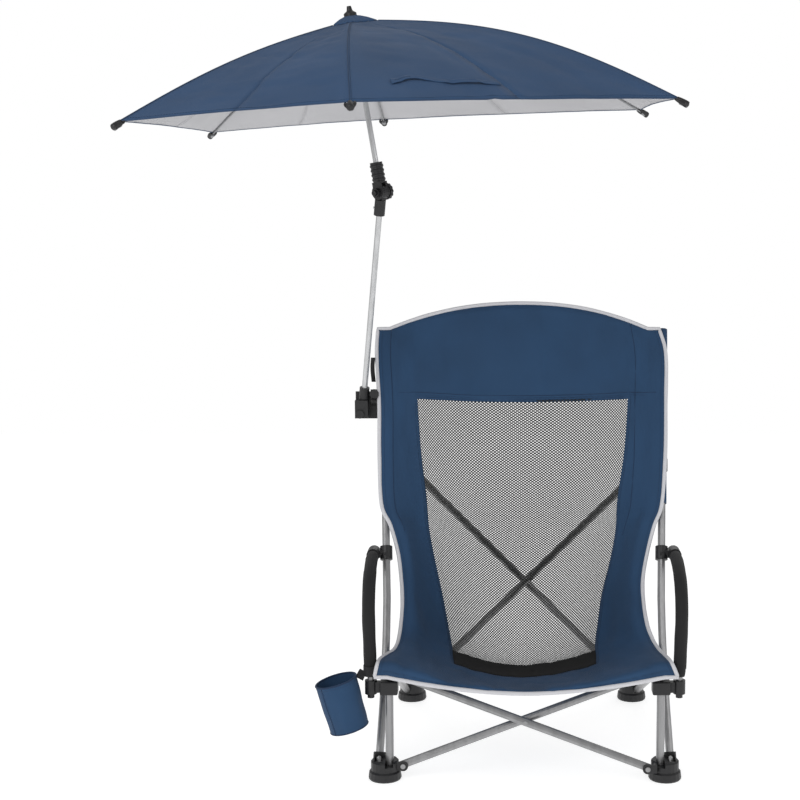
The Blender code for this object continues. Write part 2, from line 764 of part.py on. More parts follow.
def build_arm(bench, side):
    """Arm tube and the soft sleeve around it."""
    points = arm_points(side)
    tube(
        f"arm_tube_{side_name(side)}", points, ARM_TUBE_RADIUS, TUBE_WALL,
        bench.materials["steel"], bench.parts, TUBE_STEPS,
    )
    tube(
        f"arm_sleeve_{side_name(side)}", points[1:-1], SLEEVE_RADIUS,
        SLEEVE_RADIUS - ARM_TUBE_RADIUS - RUN_GAP, bench.materials["sleeve"], bench.parts, TUBE_STEPS,
    )


def build_bracket(bench, side):
    """Bracket that carries the arm tube's rear end on the back post."""
    lean = post_direction(side)
    seat = post_at(side, ARM_NODES[-1][2])
    low = seat - lean * BRACKET_LENGTH / 2
    high = seat + lean * BRACKET_LENGTH / 2
    bracket = place(
        cylinder_mesh(low, high, BRACKET_RADIUS), f"arm_bracket_{side_name(side)}",
        bench.materials["plastic"], bench.parts,
    )
    front = mirrored(side, (ARM_NODES[-1][0], BRACKET_CUP_FRONT, ARM_NODES[-1][2]))
    bench.join(bracket, cylinder_mesh(front, front + BACK * BRACKET_CUP_LENGTH, BRACKET_CUP_RADIUS))
    web_half = (ARM_NODES[-1][0] - abs(seat.x)) / 2
    bench.join(bracket, box_mesh(
        (web_half, BRACKET_WEB_HALF_DEPTH, BRACKET_WEB_HALF_HEIGHT),
        Matrix.Translation(Vector((seat.x + side * web_half, seat.y, seat.z))),
    ))
    rivet = seat - BACK * BRACKET_RADIUS
    bench.join(bracket, cylinder_mesh(
        rivet - BACK * RIVET_HEAD_HEIGHT, rivet + BACK * RIVET_HEAD_HEIGHT, RIVET_HEAD_RADIUS, SMALL_SIDES,
    ))
    clear = TUBE_RADIUS + RUN_GAP
    socket(bench, bracket, low - lean * CUT_OVERRUN * 4, lean, BRACKET_LENGTH * 2, clear)
    socket(bench, bracket, front - BACK * CUT_OVERRUN, BACK, BRACKET_CUP_BORE + CUT_OVERRUN,
           ARM_TUBE_RADIUS + RUN_GAP)


def build_front_cross(bench, side):
    """Front cross tube with its fused foot rivet; the left one also carries the middle rivet."""
    pivot = front_pivot(side)
    along = front_direction(side)
    low = pivot - along * CROSS_END_SPARE
    high = pivot + along * CROSS_TUBE_LENGTH
    cross = tube(
        f"front_cross_{side_name(side)}", [low, high], TUBE_RADIUS, TUBE_WALL,
        bench.materials["steel"], bench.parts,
    )
    add_rivet(bench, cross, pivot, -BACK, EAR_THICKNESS)
    crossing = pivot + along * (CROSS_PIVOT_X / math.cos(CROSS_ANGLE))
    if side < 0:
        add_rivet(bench, cross, crossing, -BACK, CROSS_REAR_Y - CROSS_FRONT_Y)
    else:
        bench.cut(cross, cylinder_mesh(
            crossing - BACK * TUBE_RADIUS * 2, crossing + BACK * TUBE_RADIUS * 2,
            RIVET_RADIUS + RUN_GAP, SMALL_SIDES,
        ))
    clear = TUBE_RADIUS + RUN_GAP
    mouth = high - along * CROSS_CAP_DEPTH
    cap = place(
        cylinder_mesh(mouth, mouth + along * CROSS_CAP_LENGTH, CROSS_CAP_RADIUS),
        f"seat_corner_cap_{side_name(-side)}", bench.materials["plastic"], bench.parts,
    )
    socket(bench, cap, mouth - along * CUT_OVERRUN, along, CROSS_CAP_DEPTH + CUT_OVERRUN + RUN_GAP, clear)


def add_rivet(bench, obj, pivot, towards, thickness):
    """Pin from a tube's axis through a plate beside it, with a head on the far side."""
    face = pivot + towards * (TUBE_RADIUS + thickness + RUN_GAP * 2)
    bench.join(obj, cylinder_mesh(pivot, face + towards * RIVET_HEAD_HEIGHT / 2, RIVET_RADIUS, SMALL_SIDES))
    bench.join(obj, cylinder_mesh(face, face + towards * RIVET_HEAD_HEIGHT, RIVET_HEAD_RADIUS, SMALL_SIDES))


def build_rear_cross(bench, side):
    """Rear cross tube pinned in its rear foot."""
    low, high = rear_ends(side)
    along = (high - low).normalized()
    cross = tube(
        f"rear_cross_{side_name(side)}", [low - along * CROSS_END_SPARE, high + along * CROSS_END_SPARE],
        TUBE_RADIUS, TUBE_WALL, bench.materials["steel"], bench.parts,
    )
    add_rivet(bench, cross, low, rear_axis(side), EAR_THICKNESS)
    if side < 0:
        middle = (low + high) / 2
        face = middle - rear_step() * TUBE_RADIUS * RIVET_SEAT_SHARE
        bench.join(cross, cylinder_mesh(
            face, middle - rear_step() * (TUBE_RADIUS + RIVET_HEAD_HEIGHT), RIVET_HEAD_RADIUS, SMALL_SIDES,
        ))


def build_slider(bench, side):
    """Slider on a back post, with an ear for the rear cross tube from the other side."""
    lean = post_direction(side)
    seat = post_at(side, SLIDER_REST_Z)
    half = lean * SLIDER_LENGTH / 2
    slider = place(
        cylinder_mesh(seat - half, seat + half, SLIDER_RADIUS), f"post_slider_{side_name(side)}",
        bench.materials["plastic"], bench.parts,
    )
    low, high = rear_ends(-side)
    add_ear(bench, slider, high, seat, -side, False)
    socket(bench, slider, seat - half * 2, lean, SLIDER_LENGTH * 2, TUBE_RADIUS + RUN_GAP)


def sling_rows():
    """Points of the seat surface, row by row from the top of the back to the front lip."""
    centre = smooth_points([Vector((0.0, y, z)) for y, z in SLING_CENTRE], SLING_ROW_STEPS)
    edge = smooth_points([Vector(node) for node in SLING_EDGE], SLING_ROW_STEPS)
    window = smooth_points([Vector((share, 0.0, 0.0)) for share in SLING_WINDOW_SHARES], SLING_ROW_STEPS)
    rows = []
    for index, (middle, side, opening) in enumerate(zip(centre, edge, window)):
        power = SLING_BACK_POWER if index <= SLING_BACK_ROWS else SLING_SEAT_POWER
        hem = 1 - SLING_HEM / side.x
        rows.append([sling_point(middle, side, share, power, hem) for share in column_shares(opening.x, hem)])
    return rows


def column_shares(opening, hem):
    """Positions of the grid's columns from -1 at the left edge to 1 at the right edge."""
    inner = SLING_COLUMNS - MESH_FIRST_COLUMN * 2
    middle = [opening * (column * 2 / inner - 1) for column in range(inner + 1)]
    return [-1, -hem, *middle, hem, 1]


def sling_point(middle, side, share, power, hem):
    """Point of a row between its middle and its edge; the hem outside stays flat."""
    sag = 1 - min(abs(share) / hem, 1) ** power
    return Vector((side.x * share, side.y + (middle.y - side.y) * sag, side.z + (middle.z - side.z) * sag))


def in_window(row, column):
    """Whether a face of the sling's grid belongs to the mesh panel."""
    rows = MESH_FIRST_ROW <= row < MESH_LAST_ROW
    return rows and MESH_FIRST_COLUMN <= column < SLING_COLUMNS - MESH_FIRST_COLUMN


def sheet(name, rows, wanted, thickness, material, home):
    """Cloth of a thickness over the wanted faces of a grid of points."""
    bm = bmesh.new()
    points = [[bm.verts.new(point) for point in row] for row in rows]
    for row in range(len(rows) - 1):
        for column in range(len(rows[row]) - 1):
            if wanted(row, column):
                bm.faces.new((
                    points[row][column], points[row + 1][column],
                    points[row + 1][column + 1], points[row][column + 1],
                ))
    bmesh.ops.delete(bm, geom=[vert for vert in bm.verts if not vert.link_faces], context="VERTS")
    mesh = bpy.data.meshes.new(name)
    bm.to_mesh(mesh)
    bm.free()
    obj = place(mesh, name, material, home)
    shell = obj.modifiers.new("cloth", "SOLIDIFY")
    shell.thickness = thickness
    shell.offset = 0.0
    return obj


def build_sling(bench):
    """Sling seat of cloth, with a window that the mesh panel fills."""
    rows = sling_rows()
    cloth = bench.materials["cloth"]
    sheet("sling", rows, lambda row, column: not in_window(row, column), SLING_THICKNESS, cloth, bench.parts)
    netting = bench.materials["netting"]
    window = [row[MESH_FIRST_COLUMN:SLING_COLUMNS - MESH_FIRST_COLUMN + 1] for row in rows]
    window = window[MESH_FIRST_ROW:MESH_LAST_ROW + 1]
    for row in window:
        row[0] = row[0] + (row[1] - row[0]).normalized() * MESH_GAP
        row[-1] = row[-1] + (row[-2] - row[-1]).normalized() * MESH_GAP
    for edge, inner in ((0, 1), (-1, -2)):
        window[edge] = [
            point + (beyond - point).normalized() * MESH_GAP
            for point, beyond in zip(window[edge], window[inner])
        ]
    sheet("mesh_panel", window, lambda row, column: True, MESH_THICKNESS, netting, bench.parts)


def cup_up():
    """Direction up the cup holder's axis."""
    return Vector((-math.sin(CUP_LEAN), 0.0, math.cos(CUP_LEAN)))


def cup_pin():
    """Middle of the pin that the cup holder hangs on."""
    centre = Vector((CUP_CENTRE_X, CUP_CENTRE_Y, CUP_CENTRE_Z))
    across = Vector((math.cos(CUP_LEAN), 0.0, math.sin(CUP_LEAN)))
    return centre + cup_up() * CUP_HEIGHT / 2 + across * (CUP_RADIUS + CUP_PIN_OUTSET)


def build_cup(bench):
    """Cup holder and the strap that holds it to the left arm."""
    centre = Vector((CUP_CENTRE_X, CUP_CENTRE_Y, CUP_CENTRE_Z))
    low = centre - cup_up() * CUP_HEIGHT / 2
    inner = CUP_RADIUS - CUP_WALL
    rim = CUP_RADIUS + CUP_RIM_RADIUS
    profile = [
        (0.0, CUP_WALL), (inner, CUP_WALL), (inner, CUP_HEIGHT), (rim, CUP_HEIGHT),
        (rim, CUP_HEIGHT - CUP_RIM_RADIUS * 2), (CUP_RADIUS, CUP_HEIGHT - CUP_RIM_RADIUS * 3),
        (CUP_RADIUS, CUP_RIM_RADIUS), (CUP_RADIUS - CUP_RIM_RADIUS, 0.0), (0.0, 0.0),
    ]
    at = frame_from_axis(low, cup_up(), RIGHT)
    sides = ROUND_SIDES + ROUND_SIDES // 3
    cup = turned("cup_holder", profile, at, bench.materials["cloth"], bench.parts, sides)
    pin = cup_pin()
    for end in (-1, 1):
        near = pin + BACK * (end * (TAB_HALF_DEPTH + RUN_GAP))
        far = near + BACK * (end * CUP_LUG_WIDTH)
        bench.join(cup, cylinder_mesh(near, far, CUP_LUG_RADIUS, SMALL_SIDES))
    bench.cut(cup, cylinder_mesh(
        pin - BACK * CUP_PIN_HALF * 2, pin + BACK * CUP_PIN_HALF * 2, CUP_PIN_RADIUS + RUN_GAP, SMALL_SIDES,
    ))
    ring_low = mirrored(-1, (ARM_NODES[1][0], ARM_NODES[1][1], STRAP_LOW_Z))
    clear = SLEEVE_RADIUS + RUN_GAP * 2
    strap = place(
        cylinder_mesh(ring_low, ring_low + UP * STRAP_HEIGHT, clear + STRAP_WALL),
        "cup_strap", bench.materials["cloth"], bench.parts,
    )
    tab_half = (ring_low.x - clear / 2 - pin.x) / 2
    middle = Vector((pin.x + tab_half, pin.y, pin.z))
    bench.join(strap, box_mesh((tab_half, TAB_HALF_DEPTH, TAB_HALF_HEIGHT), Matrix.Translation(middle)))
    bench.join(strap, cylinder_mesh(
        pin - BACK * CUP_PIN_HALF, pin + BACK * CUP_PIN_HALF, CUP_PIN_RADIUS, SMALL_SIDES,
    ))
    bench.join(strap, cylinder_mesh(
        pin - BACK * TAB_HALF_DEPTH, pin + BACK * TAB_HALF_DEPTH, TAB_EYE_RADIUS, SMALL_SIDES,
    ))
    bench.cut(strap, cylinder_mesh(
        ring_low - UP * CUT_OVERRUN, ring_low + UP * (STRAP_HEIGHT + CUT_OVERRUN), clear,
    ))


def lobed_mesh(start, end, radius, lobe_radius, lobes):
    """Grip knob: a cylinder whose outline swells into lobes."""
    bm = bmesh.new()
    sides = lobes * 4
    at = frame_from_axis((start + end) / 2, end - start, UP)
    bmesh.ops.create_cone(
        bm, cap_ends=True, segments=sides, radius1=radius, radius2=radius,
        depth=(end - start).length, matrix=Matrix.Identity(4),
    )
    for vert in bm.verts:
        angle = math.atan2(vert.co.y, vert.co.x)
        swell = (radius + lobe_radius * math.cos(angle * lobes)) / radius
        vert.co.x *= swell
        vert.co.y *= swell
    bmesh.ops.transform(bm, matrix=at, verts=bm.verts)
    mesh = bpy.data.meshes.new("knob")
    bm.to_mesh(mesh)
    bm.free()
    return mesh


def clamp_frame():
    """Frame of the clamp: X outward from the post, Y to the rear, Z up the post."""
    lean = post_direction(-1)
    return frame_from_axis(post_at(-1, CLAMP_POST_Z), lean, -RIGHT)


def clamp_block(frame, low, high):
    """Box between two corners in the clamp's frame."""
    middle = Vector([(a + b) / 2 for a, b in zip(low, high)])
    half = [(b - a) / 2 for a, b in zip(low, high)]
    return box_mesh(half, frame @ Matrix.Translation(middle))


def world_box(low, high):
    """Box between two corners in the design's frame."""
    return clamp_block(Matrix.Identity(4), low, high)


def build_clamp(bench):
    """Clamp on the left post: body, front jaw and knob, with the shaft holder on its boss."""
    plastic = bench.materials["plastic"]
    frame = clamp_frame()
    front = -1 if (frame @ Vector((0, 1, 0)) - frame.translation).y > 0 else 1
    half = CLAMP_BLOCK_HALF
    rise = CLAMP_BLOCK_HEIGHT / 2
    near, far = sorted((front * CLAMP_SPLIT, front * half))
    jaw = place(
        clamp_block(frame, (-half, near, -rise), (CLAMP_FLANGE_REACH, far, rise)),
        "clamp_jaw", plastic, bench.parts,
    )
    near, far = sorted((-front * CLAMP_SPLIT, -front * half))
    body = place(
        clamp_block(frame, (-half, near, -rise), (CLAMP_FLANGE_REACH, far, rise)),
        "clamp_body", plastic, bench.parts,
    )
    bench.join(body, world_box(
        (PLATE_LEFT_X, PLATE_FRONT_Y, PLATE_LOW_Z),
        (PLATE_RIGHT_X, PLATE_FRONT_Y + PLATE_THICKNESS, PLATE_HIGH_Z),
    ))
    up = (frame @ UP) - frame.translation
    seat = frame.translation
    forward = ((frame @ Vector((0, front, 0))) - seat).normalized()
    outward = ((frame @ RIGHT) - seat).normalized()
    screw = seat + outward * SCREW_REACH
    for obj in (jaw, body):
        socket(bench, obj, seat - up * CLAMP_BLOCK_HEIGHT, up, CLAMP_BLOCK_HEIGHT * 2, TUBE_RADIUS + RUN_GAP)
        socket(bench, obj, screw - forward * half * 2, forward, half * 4, SCREW_RADIUS + RUN_GAP)
    knob_back = screw + forward * (half + RUN_GAP + CLAMP_JAW_TRAVEL)
    knob = place(
        lobed_mesh(knob_back, knob_back + forward * KNOB_DEPTH, KNOB_RADIUS, KNOB_SWELL, KNOB_LOBES),
        "clamp_knob", plastic, bench.parts,
    )
    screw_tip = screw - forward * (half + CUT_OVERRUN)
    bench.join(knob, cylinder_mesh(knob_back + forward * KNOB_DEPTH / 2, screw_tip, SCREW_RADIUS, SMALL_SIDES))
    build_holder(bench, body)


def build_holder(bench, body):
    """Shaft holder that leans on a pin through the clamp's plate."""
    boss_back = Vector((BOSS_X, PLATE_FRONT_Y - RUN_GAP, BOSS_Z))
    boss_front = Vector((BOSS_X, BOSS_FRONT_Y, BOSS_Z))
    along = lower_direction()
    holder = place(
        cylinder_mesh(SHAFT_FOOT - along * HOLDER_BELOW, SHAFT_FOOT + along * HOLDER_ABOVE, HOLDER_RADIUS),
        "shaft_holder", bench.materials["plastic"], bench.parts,
    )
    bench.join(holder, world_box(
        (HOLDER_LEFT_X, HOLDER_FRONT_Y, HOLDER_LOW_Z), (HOLDER_RIGHT_X, HOLDER_BACK_Y, HOLDER_HIGH_Z),
    ))
    bench.join(holder, cylinder_mesh(boss_front, boss_back, BOSS_RADIUS))
    tail = boss_back + BACK * (PLATE_THICKNESS + RUN_GAP * 2)
    bench.join(holder, cylinder_mesh(
        boss_front + BACK * BOSS_RADIUS, tail + BACK * RIVET_HEAD_HEIGHT / 2, SCREW_RADIUS, SMALL_SIDES,
    ))
    bench.join(holder, cylinder_mesh(tail, tail + BACK * RIVET_HEAD_HEIGHT, RIVET_HEAD_RADIUS, SMALL_SIDES))
    socket(bench, holder, SHAFT_FOOT - along * RUN_GAP, along, HOLDER_ABOVE * 2, LOWER_SHAFT_RADIUS + RUN_GAP)
    socket(bench, body, boss_back - BACK * RUN_GAP, BACK, PLATE_THICKNESS * 2, SCREW_RADIUS + RUN_GAP)


def lower_direction():
    """Direction up the lower shaft."""
    return (KNUCKLE - SHAFT_FOOT).normalized()


def upper_direction():
    """Direction up the upper shaft."""
    return (APEX - KNUCKLE).normalized()


def tilt_axis():
    """Axis of the tilt knuckle, pointing at its push button."""
    return lower_direction().cross(upper_direction()).normalized()


def build_knuckle(bench):
    """Tilt knuckle: lower socket with a tongue, upper head with two ears, bolt knob and buttons."""
    plastic = bench.materials["plastic"]
    lower = lower_direction()
    upper = upper_direction()
    axis = tilt_axis()
    shaft_top = KNUCKLE - lower * SOCKET_SEAT
    tube(
        "lower_shaft", [SHAFT_FOOT, shaft_top - lower * RUN_GAP], LOWER_SHAFT_RADIUS, SHAFT_WALL,
        bench.materials["alloy"], bench.parts,
    )
    base = place(
        cylinder_mesh(KNUCKLE - lower * SOCKET_LOW, KNUCKLE - lower * SOCKET_HIGH, SOCKET_WALL_RADIUS),
        "knuckle_base", plastic, bench.parts,
    )
    tongue = axis * TONGUE_HALF
    bench.join(base, cylinder_mesh(KNUCKLE - tongue, KNUCKLE + tongue, EAR_DISC_RADIUS))
    rise = (SOCKET_HIGH + TONGUE_HALF) / 2
    neck = frame_from_axis(KNUCKLE - lower * rise, lower, axis)
    bench.join(base, box_mesh((TONGUE_HALF, SOCKET_WALL_RADIUS * PLATE_SHARE, rise), neck))
    socket(bench, base, shaft_top, -lower, SOCKET_LOW, LOWER_SHAFT_RADIUS + RUN_GAP)
    socket(bench, base, KNUCKLE - axis * EAR_DISC_RADIUS, axis, EAR_DISC_RADIUS * 2, BOLT_RADIUS + RUN_GAP)
    pitch = (HEAD_HIGH - HEAD_SEAT) / HEAD_RINGS
    profile = [(0.0, HEAD_HIGH), (HEAD_RADIUS, HEAD_HIGH)]
    for ring in reversed(range(HEAD_RINGS)):
        base_height = HEAD_SEAT + pitch * ring
        profile.append((HEAD_RADIUS, base_height + HEAD_RING_HEIGHT + HEAD_RING_SLOPE))
        profile.append((HEAD_RING_RADIUS, base_height + HEAD_RING_HEIGHT))
        profile.append((HEAD_RING_RADIUS, base_height))
        profile.append((HEAD_RADIUS, base_height - HEAD_RING_SLOPE))
    profile += [(HEAD_RADIUS, HEAD_LOW), (0.0, HEAD_LOW)]
    head = turned("knuckle_head", profile, frame_from_axis(KNUCKLE, upper, axis), plastic, bench.parts)
    gap = TONGUE_HALF + RUN_GAP
    span = gap + EAR_DISC_WALL
    inside = gap * PLATE_SHARE
    for side in (-1, 1):
        near = KNUCKLE + axis * (side * inside)
        bench.join(head, cylinder_mesh(near, KNUCKLE + axis * (side * span), EAR_DISC_RADIUS))
        thick = (span - inside - RUN_GAP) / 2
        rise = (HEAD_LOW + EAR_DISC_WALL / 2) / 2
        at = frame_from_axis(near + axis * (side * thick) + upper * rise, upper, axis)
        bench.join(head, box_mesh((thick, HEAD_RADIUS * PLATE_SHARE, rise), at))
    button_ear = KNUCKLE + axis * (gap + BUTTON_EAR_WALL)
    bench.join(head, cylinder_mesh(KNUCKLE + axis * (span - RUN_GAP * 2), button_ear, BUTTON_EAR_RADIUS))
    bench.cut(head, cylinder_mesh(KNUCKLE - axis * gap, KNUCKLE + axis * gap, EAR_DISC_RADIUS + RUN_GAP * 2))
    socket(bench, head, KNUCKLE + upper * HEAD_SEAT, upper, HEAD_HIGH, UPPER_SHAFT_RADIUS + RUN_GAP)
    bolt_low = KNUCKLE - axis * span * 2
    socket(bench, head, bolt_low, axis, span * 2 + gap + BOLT_BORE_DEPTH, BOLT_RADIUS + RUN_GAP)
    mouth = button_ear + axis * CUT_OVERRUN
    recess = TILT_BUTTON_RECESS + CUT_OVERRUN
    socket(bench, head, mouth, -axis, recess, TILT_BUTTON_RADIUS + RUN_GAP)
    floor = mouth - axis * recess
    start = floor + axis * (TILT_BUTTON_TRAVEL + RUN_GAP)
    place(
        cylinder_mesh(start, start + axis * TILT_BUTTON_LENGTH, TILT_BUTTON_RADIUS),
        "tilt_button", plastic, bench.parts,
    )
    knob_face = KNUCKLE - axis * (span + RUN_GAP)
    knob = place(
        lobed_mesh(
            knob_face, knob_face - axis * TILT_KNOB_DEPTH, TILT_KNOB_RADIUS, KNOB_SWELL, TILT_KNOB_LOBES,
        ),
        "tilt_knob", plastic, bench.parts,
    )
    bolt_tip = KNUCKLE + axis * (gap + BOLT_BORE_DEPTH - RUN_GAP)
    bench.join(knob, cylinder_mesh(
        knob_face - axis * TILT_KNOB_DEPTH / 2, bolt_tip, BOLT_RADIUS, SMALL_SIDES,
    ))
    build_latch(bench, base, lower, axis)


def build_latch(bench, base, lower, axis):
    """Spring button that locks the lower shaft in the knuckle."""
    outward = (-RIGHT - lower * lower.dot(-RIGHT)).normalized()
    seat = KNUCKLE - lower * LATCH_DROP
    shaft = bpy.data.objects["lower_shaft"]
    latch = place(
        cylinder_mesh(seat + outward * LATCH_INNER, seat + outward * LATCH_OUTER, LATCH_RADIUS, SMALL_SIDES),
        "latch_button", bench.materials["alloy"], bench.parts,
    )
    head = seat + outward * LATCH_INNER
    bench.join(latch, cylinder_mesh(head, head + outward * LATCH_HEAD_HEIGHT, LATCH_HEAD_RADIUS, SMALL_SIDES))
    for obj in (base, shaft):
        socket(bench, obj, seat, outward, LATCH_OUTER * 2, LATCH_RADIUS + RUN_GAP)


def canopy_frame():
    """Frame of the upper shaft: X to the right, Y to the rear, Z up the shaft, origin at the apex."""
    return frame_from_axis(APEX, upper_direction(), RIGHT)


def rib_layout():
    """Reach, drop, arch and azimuth of each rib in the canopy's frame."""
    right = (LONG_RIB_REACH, LONG_RIB_DROP, LONG_RIB_ARCH, LONG_RIB_AZIMUTH)
    middle = (MIDDLE_RIB_REACH, MIDDLE_RIB_DROP, MIDDLE_RIB_ARCH, MIDDLE_RIB_AZIMUTH)
    left = (SHORT_RIB_REACH, SHORT_RIB_DROP, SHORT_RIB_ARCH, SHORT_RIB_AZIMUTH)
    front = [(reach, drop, arch, -azimuth) for reach, drop, arch, azimuth in (right, middle, left)]
    return [*front, left, middle, right]


def rib_point(rib, share, lift):
    """Point along a rib's arched centre line, lifted off it towards the cloth."""
    reach, drop, arch, azimuth = rib
    chord_out = reach - HINGE_OFFSET
    chord_down = drop - NOTCH_DROP
    length = math.hypot(chord_out, chord_down)
    rise = math.sin(math.pi * share) * arch + lift
    out = HINGE_OFFSET + chord_out * share + rise * chord_down / length
    down = NOTCH_DROP + chord_down * share - rise * chord_out / length
    turn = azimuth + CANOPY_TURN
    return Vector((out * math.cos(turn), out * math.sin(turn), -down))


def build_canopy_frame(bench):
    """Ferrule, notch, runner, six ribs with tip caps and six stretchers."""
    frame = canopy_frame()
    plastic = bench.materials["plastic"]
    upper = upper_direction()
    tube(
        "upper_shaft", [KNUCKLE + upper * (HEAD_SEAT + RUN_GAP), APEX], UPPER_SHAFT_RADIUS, SHAFT_WALL,
        bench.materials["alloy"], bench.parts,
    )
    clear = UPPER_SHAFT_RADIUS + RUN_GAP
    roof = FERRULE_SEAT
    rim = RIB_RADIUS + HINGE_CLEARANCE - NOTCH_DROP
    top = [
        (0.0, FERRULE_HEIGHT), (FERRULE_TOP_RADIUS, FERRULE_HEIGHT), (FERRULE_RADIUS, roof),
        (NOTCH_RADIUS, 0.0), (NOTCH_RADIUS, rim), (NOTCH_NECK_RADIUS, rim),
        (NOTCH_NECK_RADIUS, -NOTCH_DROP - NOTCH_HEIGHT / 2), (0.0, -NOTCH_DROP - NOTCH_HEIGHT / 2),
    ]
    notch = turned("top_notch", top, frame, plastic, bench.parts)
    socket(bench, notch, APEX + upper * RUN_GAP, -upper, NOTCH_DROP * 2, clear)
    rim = -RUNNER_DROP - STRETCHER_RADIUS - HINGE_CLEARANCE
    low = -RUNNER_DROP - RUNNER_HEIGHT / 2
    skirt = low - RUNNER_SKIRT_HEIGHT
    runner_profile = [
        (0.0, low + RUNNER_HEIGHT), (RUNNER_NECK_RADIUS, low + RUNNER_HEIGHT), (RUNNER_NECK_RADIUS, rim),
        (RUNNER_RADIUS, rim), (RUNNER_RADIUS, low), (RUNNER_SKIRT_RADIUS, low),
        (RUNNER_SKIRT_RADIUS, skirt), (0.0, skirt),
    ]
    runner = turned("runner", runner_profile, frame, plastic, bench.parts)
    socket(bench, runner, APEX, -upper, RUNNER_DROP * 2, clear)
    for name, rib in zip(RIB_NAMES, rib_layout()):
        build_rib(bench, name, rib, frame)


def build_rib(bench, name, rib, frame):
    """One arched rib with its tip cap, and the stretcher beside it."""
    steel = bench.materials["rib"]
    points = [rib_point(rib, step / RIB_STEPS, 0.0) for step in range(RIB_STEPS + 1)]
    along = (points[-1] - points[-2]).normalized()
    cap_start = points[-1] - along * RIB_TIP_LENGTH
    points = [*points[:-1], cap_start, cap_start + along * RUN_GAP, points[-1]]
    radii = [RIB_RADIUS] * (len(points) - 2) + [RIB_TIP_RADIUS, RIB_TIP_RADIUS]
    bar(f"rib_{name}", [frame @ point for point in points], RIB_RADIUS, steel, bench.parts, THIN_STEPS, radii)
    reach, drop, _arch, azimuth = rib
    turn = azimuth + CANOPY_TURN
    share = STRETCHER_REACH / math.hypot(reach - HINGE_OFFSET, drop - NOTCH_DROP)
    aside = Vector((-math.sin(turn), math.cos(turn), 0.0)) * STRETCHER_SIDE
    low = Vector((math.cos(turn) * HINGE_OFFSET, math.sin(turn) * HINGE_OFFSET, -RUNNER_DROP)) + aside
    high = rib_point(rib, share, 0.0) + aside
    bar(f"stretcher_{name}", [frame @ low, frame @ high], STRETCHER_RADIUS, steel, bench.parts, THIN_STEPS)


def build_canopy(bench):
    """Canopy cloth over the ribs: six panels that dip between the ribs."""
    frame = canopy_frame()
    ribs = rib_layout()
    rows = []
    start = CANOPY_HUB_SHARE
    for ring in range(CANOPY_RINGS + 1):
        share = start + (CANOPY_REACH_SHARE - start) * ring / CANOPY_RINGS
        corners = [rib_point(rib, share, CANOPY_LIFT) for rib in ribs]
        rows.append(ring_points(corners, share))
    collar = [Vector((point.x, point.y, 0.0)).normalized() * CANOPY_COLLAR_RADIUS for point in rows[0]]
    rows.insert(0, [point - UP * CANOPY_COLLAR_DROP for point in collar])
    bm = bmesh.new()
    grid = [[bm.verts.new(frame @ point) for point in row] for row in rows]
    count = len(grid[0])
    for inner, outer in zip(grid, grid[1:]):
        for index in range(count):
            after = (index + 1) % count
            bm.faces.new((inner[index], outer[index], outer[after], inner[after]))
    mesh = bpy.data.meshes.new("canopy")
    bm.to_mesh(mesh)
    bm.free()
    cloth = place(mesh, "canopy", bench.materials["cloth"], bench.parts)
    shell = cloth.modifiers.new("cloth", "SOLIDIFY")
    shell.thickness = CANOPY_THICKNESS
    shell.offset = 0.0


def ring_points(corners, share):
    """Points around one ring of the canopy, with each panel dipping between its two ribs."""
    points = []
    for corner, after in zip(corners, corners[1:] + corners[:1]):
        for step in range(CANOPY_PANEL_STEPS):
            t = step / CANOPY_PANEL_STEPS
            point = corner.lerp(after, t)
            bow = math.sin(math.pi * t)
            pull = 1 - RIM_SCALLOP_SHARE * bow * share
            points.append(Vector((point.x * pull, point.y * pull, point.z * pull)))
    return points


def settle(bench):
    """Put the origin on the floor under the middle of the whole object's bounding box."""
    graph = bpy.context.evaluated_depsgraph_get()
    corners = []
    for obj in bench.parts.objects:
        seen = obj.evaluated_get(graph)
        mesh = seen.to_mesh()
        corners.extend(seen.matrix_world @ vert.co for vert in mesh.vertices)
        seen.to_mesh_clear()
    low = Vector([min(point[axis] for point in corners) for axis in range(3)])
    high = Vector([max(point[axis] for point in corners) for axis in range(3)])
    shift = Vector((-(low.x + high.x) / 2, -(low.y + high.y) / 2, -low.z))
    for obj in [*bench.parts.objects, *bench.tools.objects]:
        obj.matrix_world = Matrix.Translation(shift) @ obj.matrix_world


def main():
    """Build every piece of the chair and its umbrella."""
    clear_scene()
    bench = Bench(build_materials())
    for side in (-1, 1):
        build_front_foot(bench, side)
        build_rear_foot(bench, side)
        build_upright(bench, side)
        build_post(bench, side)
        build_rear_leg(bench, side)
        build_hub(bench, side)
        build_arm(bench, side)
        build_bracket(bench, side)
        build_front_cross(bench, side)
        build_rear_cross(bench, side)
        build_slider(bench, side)
    build_sling(bench)
    build_cup(bench)
    build_clamp(bench)
    build_knuckle(bench)
    build_canopy_frame(bench)
    build_canopy(bench)
    settle(bench)


if __name__ == "__main__":
    main()
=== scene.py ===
"""Folding beach chair with a clamp-on umbrella: cloth, netting, piping, straps and light over the CAD frame.

Lengths are metres in the CAD frame: +Z up, the sitter faces -Y, +X to the right in the front view.
"""

import logging
import math
from dataclasses import dataclass
from enum import Enum
from typing import Callable, Optional, Sequence

import bpy
from mathutils import Matrix, Vector, noise


